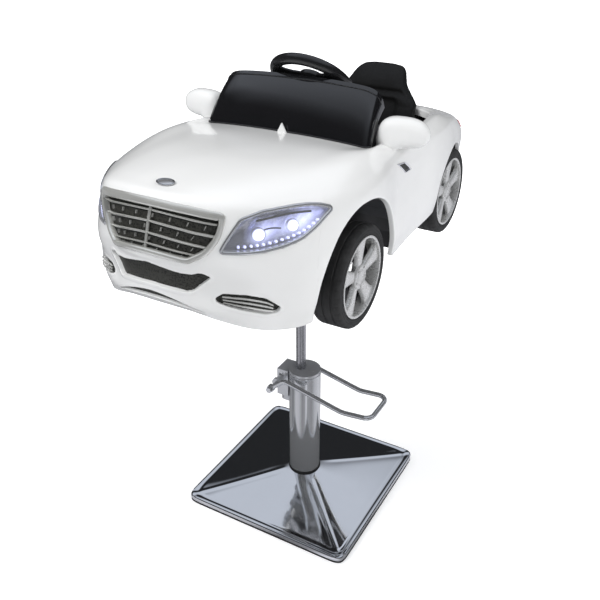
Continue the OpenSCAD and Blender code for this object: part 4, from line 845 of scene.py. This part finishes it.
def screen_at(a, h, off=0.0):
    """The windscreen: across (-1 to 1), up (0 to 1) and metres off its face"""
    a, h = np.broadcast_arrays(a, h)
    base = skin(np.stack([4.8 * a, TOP + 0 * a], -1), 0.3)
    drop = 1 - 0.04 * a * a - 0.36 * np.abs(a) ** 9
    wave = 0.010 * np.sin(math.pi * h)
    return np.stack([base[..., 0] * (1 - 0.045 * h),
                     base[..., 1] + (0.078 + 0.008 * a * a) * h - wave * 0.5 - 0.8 * off,
                     base[..., 2] + 0.116 * drop * h + wave * 0.8 + 0.6 * off], -1)


def build_windscreen():
    """A gloss panel with a rolled top, a seal along its foot and a bead round its face"""
    a, h = np.meshgrid(np.linspace(-1, 1, 160), np.linspace(0, 1, 34), indexing="ij")
    face, top_roll = screen_at(a, h), ((1.2, 0.9), (3, 0.6), (4.2, -1.4), (3.6, -4))
    rim = [face[:, -1] + np.array([0, dy, dz]) * MM for dy, dz in top_roll]
    grid = np.concatenate([face, np.stack(rim, 1), screen_at(a, h, -0.004)[:, ::-1]], 1)
    screen = Parts().grid(grid)
    for end, step in ((0, 1), (-1, -1)):
        screen.add(grid[end], [list(range(grid.shape[1]))[::step]])
    screen.make("windscreen_panel", SCREEN_BLACK, "black_gloss", "windscreen", sharp=45)
    foot = screen_at(np.linspace(-1, 1, 200), 0.0) + np.array([0, -1.2, 1.0]) * MM
    Parts().add(*tube(foot, 2.4 * MM, 10)).make("windscreen_seal", TRIM_BLACK, "black_trim")
    wide, low, high = 0.955, 0.05, 0.93
    side = np.concatenate([np.full(30, -wide), np.linspace(-wide, wide, 140), np.full(30, wide)])
    level = np.concatenate([np.linspace(low, high, 30), np.full(140, high), np.linspace(high, low, 30)])
    border = smooth_path(screen_at(side, level, 0.0007), 260)
    Parts().add(*tube(border, 1.5 * MM, 10)).make("windscreen_bead", SCREEN_BLACK, "black_gloss")


# Wheel sections in mm (radius, height): sidewall from the rim outwards, rim barrel, hub cap, nut, disc
SIDEWALL = [(95.1, 31), (96.5, 34.5), (98.5, 35.6), (101, 35.4), (102, 34.8), (103, 35.5), (107, 35.9),
            (108.5, 35.2), (110, 35.8), (114, 34.9), (117, 33), (119, 30), (119.8, 26)]
BARREL = [(94.5, -33), (90, -33), (86, -30), (86, 10), (88, 20), (88, 31), (89, 35), (90.5, 36), (93.6, 36),
          (95, 35.2)]
HUB_CAP = [(30, 24), (29, 28.5), (26, 30.5), (20, 31.2), (18.5, 30.2), (17, 31), (8, 32.2), (0.05, 32.4)]
NUT = [(2.6, 30.4), (2.6, 32.0), (1.8, 32.6), (0.02, 32.6)]
DISC = [(27, 3), (60, 4), (88, 6)]
# Spoke in mm: half width at each radius, and how far its face falls towards its sides
SPOKE_RADIUS = np.array([18, 26, 34, 46, 58, 70, 80, 88.2])[:, None]
SPOKE_WIDTH = np.array([11.2, 12.5, 14.0, 15.5, 17.0, 19.5, 23.5, 29.0])[:, None]
SPOKE_ACROSS = np.array([-1, -0.96, -0.84, -0.5, 0, 0.5, 0.84, 0.96, 1])
SPOKE_FALL = np.array([9.0, 2.2, 0.6, 0.1, 0, 0.1, 0.6, 2.2, 9.0])
SPOKES, TREAD_TURNS, BLOCK_STEP, NUT_CIRCLE = 5, 180, 5, 22.8


def build_wheels():
    """Tyre: three grooves round the tread, blocks on its shoulders and rings on its sidewall.
    Rim: a dished barrel with five broad spokes, nuts between them and a hub cap"""
    tread = [(radius, edge + shift) for edge in (17, -3, -23)
             for radius, shift in ((120, 3.2), (118, 2.2), (118, -2.2), (120, -3.2))]
    section = SIDEWALL + tread + [(r, -h) for r, h in SIDEWALL[::-1]]
    wheel = spun(section, TREAD_TURNS)
    radius, height = np.array(section).T
    shoulder = (np.abs(height) > 25.5) & (radius > 116.5)
    notched = (np.arange(TREAD_TURNS) % BLOCK_STEP == 0)[:, None] & shoulder
    wheel[..., :2] *= np.where(notched, 1 - 0.0020 / 0.12, 1.0)[..., None]
    rim = Parts().grid(spun(BARREL, 120), wrap=True)
    face = 28 + 3.5 * ease((SPOKE_RADIUS - 20) / 60) - 1.6 * SPOKE_ACROSS**2 - SPOKE_FALL
    x, y = SPOKE_RADIUS + 0 * SPOKE_ACROSS, SPOKE_WIDTH * SPOKE_ACROSS
    turns = [k * 2 * math.pi / SPOKES + math.pi / 2 for k in range(SPOKES)]
    for turn in turns:
        c, s = math.cos(turn), math.sin(turn)
        rim.grid(np.stack([x * c - y * s, x * s + y * c, face], -1) * MM)
    rim.grid(spun(HUB_CAP, 60), wrap=True)
    for turn in turns:
        turn += math.pi / SPOKES
        centre = np.array([math.cos(turn), math.sin(turn), 0]) * NUT_CIRCLE * MM
        rim.grid(spun(NUT, 6) + centre, wrap=True)
    tyre_faces = grid_faces(*wheel.shape[:2], True)
    back = spun(DISC, 90)
    back_faces = grid_faces(*back.shape[:2], True)[:, ::-1]
    rim_points = np.concatenate(rim.points)
    front_x, rear_x = 0.255, 0.239
    for tag, side, across, along in (("fl", 1, front_x, FRONT_Y), ("fr", -1, front_x, FRONT_Y),
                                     ("rl", 1, rear_x, REAR_Y), ("rr", -1, rear_x, REAR_Y)):
        centre = np.array([side * across, along, WHEEL_Z])
        for name, pts, faces, material, slot, *stands in (
                ("tyre_tread_", wheel, tyre_faces, TYRE, "tyre_black", "tyre_" + tag),
                ("rim_face_", rim_points, rim.faces, RIM_SILVER, "rim_silver", "rim_" + tag),
                ("rim_disc_", back, back_faces, TRIM_BLACK, "black_trim")):
            piece(name + tag, moved(pts, centre, Y * side, Z, X * side), faces, material, slot, *stands,
                  body="wheel_" + tag, sharp=42)


def superellipse(half_x, half_y, mid, z, n=96):
    """A level ring with nearly square corners"""
    turn = full_turn(n)
    x, y = squared(np.cos(turn), 0.3), squared(np.sin(turn), 0.3)
    return np.stack([half_x * x, mid + half_y * y, z + 0 * turn], -1)


def points_of(mesh):
    """A mesh's points as rows"""
    points = np.empty(len(mesh.vertices) * 3)
    mesh.vertices.foreach_get("co", points)
    return points.reshape(-1, 3)


def swollen(pad, cap, held_below):
    """Swell a closed pad: an even remesh, then a cloth simulation under pressure without gravity.
    Points below held_below stay down, and no point moves further than the cap"""
    even = pad.modifiers.new("even", "REMESH")
    even.mode, even.voxel_size = "VOXEL", 0.005
    pad.data = bpy.data.meshes.new_from_object(pad.evaluated_get(bpy.context.evaluated_depsgraph_get()))
    pad.modifiers.clear()
    start = points_of(pad.data)
    held = pad.vertex_groups.new(name="held")
    held.add([int(i) for i in np.nonzero(start[:, 2] < held_below)[0]], 1.0, "REPLACE")
    cloth = pad.modifiers.new("swell", "CLOTH")
    cloth.settings.use_pressure, cloth.settings.uniform_pressure_force = True, 4.0
    cloth.settings.effector_weights.gravity = 0.0
    cloth.settings.vertex_group_mass = "held"
    cloth.point_cache.frame_start, cloth.point_cache.frame_end = 1, 20
    for frame_number in range(1, 21):
        bpy.context.scene.frame_set(frame_number)
    full = bpy.data.meshes.new_from_object(pad.evaluated_get(bpy.context.evaluated_depsgraph_get()))
    shift = points_of(full) - start
    shift *= np.minimum(1.0, cap / np.maximum(np.linalg.norm(shift, axis=1, keepdims=True), 1e-9))
    pad.modifiers.clear()
    pad.vertex_groups.clear()
    pad.data.vertices.foreach_set("co", (start + shift).ravel())
    pad.data.polygons.foreach_set("use_smooth", np.full(len(pad.data.polygons), True))
    bpy.data.meshes.remove(full)
    bpy.context.scene.frame_set(1)
    return pad


def carved(pad, rule):
    """Move every point of a pad by a rule, then smooth it by one subdivision"""
    points = points_of(pad.data)
    pad.data.vertices.foreach_set("co", (points + rule(points)).ravel())
    pad.data.update()
    finer = pad.modifiers.new("finer", "SUBSURF")
    finer.levels = finer.render_levels = 1
    return pad


def furrow(place, width):
    """1 at a place of zero, falling off over the width"""
    return np.exp(-(place / width) ** 2)


# Seat pads: share of the height, then shares of the widths
CUSHION_LEVELS = [(0, .93), (.06, .965), (.2, .985), (.4, .995), (.6, 1), (.78, .985), (.9, .95), (.97, .88),
                  (1, .8)]
CUSHION_TOP = (.74, .66, .58, .5, .42, .34, .26, .18, .1, .02)
BACK_LEVELS = np.array([
    [0, .9, .7], [.02, .96, .85], [.1, .99, .97], [.25, 1, 1], [.38, 1, .99], [.46, .98, .96],
    [.52, .94, .93], [.57, .93, .86], [.61, .94, .8], [.65, .89, .88], [.7, .8, .94], [.75, .71, .95],
    [.8, .63, .96], [.86, .57, .97], [.92, .52, .9], [.96, .46, .72], [.985, .38, .48], [1, .2, .15]])


def build_seat():
    """Seat pad with a sewn centre panel and three cross channels. Backrest whose sides pull in to a
    headrest, with a recessed centre panel between raised side rolls and a crease under the headrest"""
    low, high = node_box("seat_cushion")
    half, mid, body, crown = (high - low) / 2, (high + low) / 2, 0.043, 0.008
    levels = [(s, low[2] + body * h) for h, s in CUSHION_LEVELS]
    levels += [(s, low[2] + body + crown * (1 - (s / .8) ** 2)) for s in CUSHION_TOP]
    rings = [superellipse(half[0] * s, half[1] * s, mid[1], z) for s, z in levels]
    cushion = Parts().loft(rings).make("seat_cushion_leather", LEATHER, "black_leather", "seat_cushion")
    cushion = swollen(cushion, 0.006, low[2] + 0.022)

    def sewn(points):
        """Seams round the centre panel and across it, and a raised roll along each side"""
        across, along = np.abs(points[:, 0]) / half[0], (points[:, 1] - mid[1]) / half[1]
        on_top = ease((points[:, 2] - low[2] - 0.034) / 0.010)
        seam = furrow(across - 0.62, 0.030) * ease((0.86 - np.abs(along)) * 10)
        for place in (-0.5, 0.0, 0.5):
            seam = np.maximum(seam, furrow(along - place, 0.035) * ease((0.62 - across) * 14))
        side_roll = ease((across - 0.60) * 5) * ease((0.97 - across) * 8)
        return np.stack([0 * seam, 0 * seam, on_top * (0.003 * side_roll - 0.0042 * seam)], 1)

    carved(cushion, sewn)
    base, tall = node_box("seat_back")[0, 2], 0.241

    def at_level(k):
        """Half width, middle and half depth at a share of the height"""
        shares, wide, deep = BACK_LEVELS.T
        return (0.148 * np.interp(k, shares, wide), 0.389 + 0.112 * k**2.6,
                0.022 * np.interp(k, shares, deep))

    rings = []
    for k in np.concatenate([np.linspace(0, 0.97, 70), [.98, .985, .992, 1]]):
        half_x, middle, half_y = at_level(k)
        rings.append(superellipse(half_x, half_y, middle, base + tall * k, n=160))
    back = Parts().loft(rings).make("seat_back_leather", LEATHER, "black_leather", "seat_back")
    back = swollen(back, 0.003, base + 0.030)

    def shaped(points):
        """Depth of the panel, crease, headrest, rolls and seam, on the side that faces forwards"""
        k = np.clip((points[:, 2] - base) / (tall + 0.001), 0, 1)
        half_x, middle, half_y = at_level(k)
        across = np.abs(points[:, 0]) / half_x
        front = ease((middle - points[:, 1]) / half_y * 1.4 - 0.2)
        panel = ease((0.66 - across) * 8) * ease((0.70 - k) * 16)
        crease = furrow(k - 0.735, 0.030) * ease((0.90 - across) * 9)
        head = ease((0.86 - across) * 3.5) * furrow(k - 0.87, 0.09)
        roll = furrow(across - 0.80, 0.12) * ease((0.74 - k) * 10) * ease(k * 6)
        seam = furrow(across - 0.86, 0.025) * ease((k - 0.78) * 20) * ease((0.95 - k) * 20)
        move = 0.0100 * panel + 0.0085 * crease - 0.0050 * head - 0.0065 * roll + 0.0018 * seam
        return np.stack([0 * k, front * move, 0 * k], 1)

    carved(back, shaped)


def build_spring():
    """Return spring of the pump: a coil between the barrel and the plunger's head. It is built at one length
    on the base and does not shorten with the plunger's stroke"""
    low, high = node_box("plunger_spring")
    mid, wire, tall, coils = (low + high) / 2, 0.0009, high[2] - low[2], 7
    coil = (high[0] - low[0]) / 2 - wire
    turn = np.linspace(0, 2 * math.pi * coils, 260)
    rise = low[2] + wire + (tall - 2 * wire) * np.clip(np.linspace(-0.10, 1.10, 260), 0, 1)
    path = np.stack([mid[0] + coil * np.cos(turn), mid[1] + coil * np.sin(turn), rise], -1)
    spring = Parts().add(*tube(path, wire, 10)).make(
        "return_spring_coil", RAM_STEEL, "bright_steel", "plunger_spring", body="base")
    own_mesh(spring)


def build_small_trim():
    """Plain oval badge with a dark rolled rim, and a plated four-sided frame round each side vent, with a
    flat dark sheet inside it as painted shade for the vent's depth
    """
    centre, out = surf(0.0, 6.03), outward(0.0, 6.03)
    axes = (X, np.cross(out, X), out)
    wide, deep = 19.6, 12.0
    dome = spun([(wide, 1.0), (19.2, 2.4), (16, 3.0), (12, 3.6), (6, 4.0), (0.02, 4.1)], 64)
    Parts().grid(moved(dome * np.array([1, 0.6, 1]), centre, *axes), wrap=True).make(
        "badge_face", TUBE_CHROME, "chrome", "hood_badge", sharp=50)
    turn = full_turn(90)
    loop = np.stack([wide * np.cos(turn), deep * np.sin(turn), 2.6 + 0 * turn], -1) * MM
    rim = tube(moved(loop, centre, *axes), 1.3 * MM, 12, closed=True)
    Parts().add(*rim).make("badge_rim", CHROME, "chrome")
    corners = np.array([(8.00, 5.42), (8.34, 5.30), (8.64, 4.60), (8.36, 4.62)])
    outline, middle = resample(corners, 72), corners.mean(0)
    vent = ((1.06, -0.6), (1.06, 1.4), (0.98, 2.6), (0.84, 2.4), (0.74, 0.9), (0.74, 0.2))
    # A flat dark sheet lies on the body inside each frame: painted shade standing in for the vent's depth
    depth = [(share, 0.7) for share in (0.80, 0.6, 0.4, 0.2, 0.01)]
    for rings, name, material, slot, *stands, sharp in (
            (vent, "vent_frames", CHROME, "chrome", "side_vents", 50),
            (depth, "vent_depths", MESH_BLACK, "black_trim", None)):
        grid = np.stack([skin(middle + share * (outline - middle), height) for share, height in rings], 1)
        Parts().grid(grid, wrap=True).mirrored().make(name, material, slot, *stands, sharp=sharp)


# Mirror housing: place in mm, lean of the section in degrees, half height and half depth in mm
MIRROR_PATH = np.array([
    [238, -14, 1098, 90, 22, 26], [239, -15, 1116, 82, 25, 28], [244, -18, 1138, 60, 33, 30],
    [254, -18, 1153.5, 35, 38.5, 30], [275, -16, 1157.5, 8, 35.5, 28], [300, -14, 1157.5, 0, 33, 26],
    [320, -12, 1156, 0, 27, 22], [332, -12, 1155, 0, 17, 15], [336.5, -12, 1155, 0, 9, 8],
    [338, -12, 1155, 0, 2, 2]])


def build_mirrors():
    """Housing as one loft: sections rise from the body at the windscreen's corner, turn outwards and
    close at the outer end. The rear is cut flat where the mirror face sits"""
    along, back, up, lean, half_high, half_deep = smooth_path(MIRROR_PATH, 90).T
    turn, lean, flat_rear = full_turn(72)[:, None], np.radians(lean), 12.5
    across, deep = squared(np.cos(turn), 0.75), squared(np.sin(turn), 0.75)
    housing = np.stack([along - half_high * across * np.sin(lean),
                        np.minimum(back + half_deep * deep, flat_rear),
                        up + half_high * across * np.cos(lean)], -1)[::-1] * MM
    faces = capped_faces(*housing.shape[:2])
    turned_faces = [f[::-1] for f in faces]
    for tag, points, faces in (("left", housing, faces), ("right", housing * FLIP, turned_faces)):
        piece("mirror_shell_" + tag, points, faces, WHITE_SMALL, "white_body", "mirror_" + tag, sharp=60)


# Steering wheel: sections in mm (radius, height), and spokes as length, half width and rise
STEERING_HUB = [(8, -13), (30, -13), (36, -2), (34, 10), (24, 13.5), (22.5, 12), (22.5, 2)]
HORN = [(21, 5), (21.6, 10), (20.6, 13.4), (16, 14.6), (0.05, 15.2)]
STEERING_SPOKE = np.array([(20, 17, 3), (34, 15, 2), (50, 12.5, 0), (70, 11.5, -1), (86, 13, -0.5),
                           (93, 15, 0)])


def build_steering():
    """Wheel rim with thicker grips, three spokes, a padded hub and a round horn button"""
    lean, radius = math.radians(40.5), 0.095
    centre = np.array([0, 0.0535, 1.2324])
    axes = (X, Y * math.cos(lean) - Z * math.sin(lean), Y * math.sin(lean) + Z * math.cos(lean))
    turn = full_turn(160)
    thick = 0.0130 + 0.0006 * ease((np.abs(np.sin(turn)) - 0.35) * 4)
    circle = np.stack([radius * np.cos(turn), radius * np.sin(turn), 0 * turn], -1)
    points, faces = tube(circle, thick, 26, closed=True)
    wheel = Parts().add(moved(points, centre, *axes), faces)
    wheel.grid(moved(spun(rounded(STEERING_HUB, 4), 60), centre, *axes), wrap=True)
    length, half, rise = STEERING_SPOKE.T[..., None] * MM
    ring = full_turn(20)[:, None, None]
    flat, tall = squared(np.cos(ring), 0.5), squared(np.sin(ring), 0.5)
    for angle in np.radians([90, 205, 335]):
        c, s = math.cos(angle), math.sin(angle)
        out, side = np.array([c, s, 0]), np.array([-s, c, 0])
        spoke = length * out + half * flat * side + (rise + 5 * MM * tall) * Z
        wheel.grid(moved(spoke, centre, *axes), wrap=True)
    wheel.make("steering_wheel_grip", GRIP_BLACK, "wheel_grip", "steering_wheel", body="steering", sharp=50)
    Parts().grid(moved(spun(rounded(HORN, 2), 48), centre, *axes), wrap=True).make(
        "horn_cap", TRIM_BLACK, "black_gloss", "horn_button", body="horn", sharp=50)


COLUMN_X = 0.013
# Rolled edge of the base cover (mm outwards, height) and section of the floor gasket (mm inwards, height)
BASE_ROLL = ((3.5, 21.5), (6.0, 18.0), (6.8, 13.0), (6.0, 8), (4, 4.5), (0, 3))
GASKET = ((18, 0.2), (1.5, 0.2), (0, 1.2), (1.5, 2.8), (18, 2.8), (18, 0.2))


def build_base():
    """Plated base cover: four nearly flat faces that meet in soft ridges, a shallow valley round them
    and a rolled edge. The height falls with the power of the distance from the column"""
    half, power, inset, crown, edge, collar = 0.263, 22.0, 0.006, 0.056, 0.020, 0.047
    turn = full_turn(720)
    c, s = np.cos(turn), np.sin(turn)
    square = half / (np.abs(c) ** power + np.abs(s) ** power) ** (1 / power)
    share = np.linspace(0, 1, 90)
    reach = collar + (square[:, None] - inset - collar) * share
    across = reach * np.sin(np.abs((turn % (math.pi / 2)) - math.pi / 4)[:, None])
    soft = 0.0016 * furrow(across, 0.007) - 0.0014 * furrow(across, 0.018)
    z = (edge + 0.001 + (crown - edge) * (1 - share) ** 1.22 + soft * ease(share * 4)
         - 0.0012 * furrow(share - 0.945, 0.020) + 0.0010 * ease((share - 0.96) * 30))

    def ring(distance, high):
        """A level ring at a distance from the column"""
        return np.stack([COLUMN_X + distance * c, distance * s, high + 0 * turn], -1)

    grid = np.stack([COLUMN_X + reach * c[:, None], reach * s[:, None], z], -1)
    roll = [ring(square - inset + out * MM, high * MM) for out, high in BASE_ROLL]
    Parts().grid(np.concatenate([grid, np.stack(roll, 1)], 1)[:, ::-1], wrap=True).make(
        "base_sheet", CHROME, "chrome", "base_cover", body="base", sharp=60)
    gasket = [ring(square - inward * MM, high * MM) for inward, high in GASKET]
    Parts().grid(np.stack(gasket, 1), wrap=True).make(
        "floor_gasket_ring", SOFT_RUBBER, "black_rubber", "floor_gasket", body="base", sharp=50)


def build_column():
    """Rubber collar on the base and the plated sleeve of the pump, with rounded rims"""
    collar = [(46.6, 50), (49.2, 50), (49.6, 54), (49.4, 61), (48.4, 63.5), (46.6, 63.5)]
    sleeve = [(46.5, 51), (46.5, 402), (47.2, 404), (46.8, 407.5), (44.6, 408.5)]
    for profile, radius, turns, name, material, slot, stands in (
            (collar, 1.2, 90, "collar_ring", SOFT_RUBBER, "black_rubber", "column_collar"),
            (sleeve, 1.0, 120, "pump_sleeve_tube", TUBE_CHROME, "chrome", "pump_sleeve")):
        Parts().grid(spun(rounded(profile, radius), turns) + X * COLUMN_X, wrap=True).make(
            name, material, slot, stands, body="base", sharp=50)


for build in (build_body, build_edgings, build_front_mesh, build_grille_trim, build_headlights,
              build_windscreen, build_wheels, build_seat, build_spring, build_small_trim, build_mirrors,
              build_steering, build_base, build_column):
    build()


# Kept pieces from the frame take the finished materials
for material, names in (
        (TUBE_CHROME, "pump_pedal pedal_pin"),
        (CAST_CHROME, "pump_bracket pump_body"),
        (TRIM_CHROME, "fog_fins"),
        (RAM_STEEL, "lift_ram pump_plunger tie_rod"),
        (PLATE_BLACK, "base_plate"),
        (BRASS, "thrust_washer"),
        (FRAME_BLACK, "swivel_socket seat_frame steering_column column_bush front_beam knuckle_left "
                      "knuckle_right rear_axle"),
        (PUMP_METAL, "frame_bolts"),
        (TUB_BLACK, "floor_tub dashboard battery"),
        (LINER_BLACK, "front_arch_liners rear_arch_liners"),
        (WHITE_SMALL, "hood_tab"),
        (RED_LENS, "tail_lights"),
        (RED_SWITCH, "dash_switch"),
        (GREY_DECK, "rear_deck"),
        (MIRROR, "mirror_glasses")):
    for name in names.split():
        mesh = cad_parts[name].data
        mesh.materials.clear()
        mesh.materials.append(material)
        mesh.polygons.foreach_set("material_index", np.zeros(len(mesh.polygons), np.int32))


# Stage: a pale floor, soft lights, and the camera of the photograph
scene = bpy.context.scene
scene.view_settings.view_transform = "Standard"
world = scene.world or bpy.data.worlds.new("studio")
scene.world = world
sky = Paint("studio", world)
sky.tree.nodes.clear()
way = sky.node("ShaderNodeTexCoord", {}, {}, 0)
along, up = sky.axis(way, 1), sky.axis(way, 2)
bend = sky.noise(1.6, 2, 0.5, way) * 0.24 - 0.12
glow = sky.band(up + bend, 0.56, 0.74) * (0.25 + 0.75 * sky.band(along, -0.75, -0.25))
mirrored = sky.mix(glow, (0.020, 0.021, 0.023), (0.60, 0.64, 0.72))
plain = sky.mix(sky.ray(0), (0.52, 0.53, 0.55), (1.0, 1.0, 1.0))
seen = sky.node("ShaderNodeBackground", {}, {0: sky.mix(sky.ray(3), plain, mirrored), 1: 1.0})
sky.node("ShaderNodeOutputWorld", {}, {0: seen}, None)


def lamp(name, place, aim, size, power):
    """A soft rectangular light that shows in no reflection"""
    data = bpy.data.lights.new(name, "AREA")
    data.shape, data.size, data.size_y, data.energy = "RECTANGLE", size[0], size[1], power
    obj = bpy.data.objects.new(name, data)
    scene.collection.objects.link(obj)
    obj.location = place
    way = np.array(aim, float) - np.array(place, float)
    level = math.hypot(way[0], way[1])
    obj.rotation_euler = (math.atan2(level, -way[2]), 0, math.atan2(way[1], way[0]) - math.pi / 2)
    obj.visible_glossy = False


lamp("key", (-1.4, -1.6, 3.2), (0, 0, 0.9), (1.8, 1.8), 62)
lamp("side", (2.8, -0.6, 1.9), (0, 0, 0.9), (1.2, 1.8), 30)
lamp("back", (0.4, 2.6, 2.6), (0, 0, 0.9), (2.4, 1.2), 26)

FLOOR = 30
floor_mesh = bpy.data.meshes.new("stage_floor")
corners = [(-FLOOR, -FLOOR, 0), (FLOOR, -FLOOR, 0), (FLOOR, FLOOR, 0), (-FLOOR, FLOOR, 0)]
floor_mesh.from_pydata(corners, [], [(0, 1, 2, 3)])
floor = bpy.data.objects.new("stage_floor", floor_mesh)
scene.collection.objects.link(floor)
paper = Paint("studio paper")
at = paper.place()
east, north = paper.axis(at, 0), paper.axis(at, 1)
reach = (east * east + north * north) ** 0.5
turn = paper.maths("ARCTAN2", north, east)
greys = [(0.0, 0.30), (0.08, 0.10), (0.15, 0.70), (0.22, 0.62), (0.29, 0.20), (0.335, 0.32), (0.36, 0.95),
         (0.385, 0.34), (0.47, 0.26), (0.54, 0.70), (0.64, 0.95), (0.75, 0.60), (0.86, 0.08), (1.0, 0.30)]
stops = [(place, (grey, grey, grey * 1.05)) for place, grey in greys]
stripes = paper.ramp(turn / (2 * math.pi) + 0.5, stops)
pale = paper.mix(paper.noise(2, 2), (0.90, 0.90, 0.90), (0.92, 0.92, 0.92))
seen_glow = paper.ray(0) * (0.25 + 0.75 * paper.band(reach, 0.7, 2.2))
paper.set(Base_Color=paper.mix(paper.ray(3), pale, stripes), Roughness=0.9,
          Emission_Color=paper.mix(seen_glow, (0.0, 0.0, 0.0), (1.0, 1.0, 1.0)), Emission_Strength=1.2)
floor_mesh.materials.append(paper.material)

camera_data = bpy.data.cameras.new("camera")
camera_data.sensor_width, camera_data.lens = 36, 45
camera = bpy.data.objects.new("camera", camera_data)
scene.collection.objects.link(camera)
camera.location = (0.896, -1.590, 1.648)
camera.rotation_euler = (math.radians(61.1), 0, math.radians(29.5))
scene.camera = camera
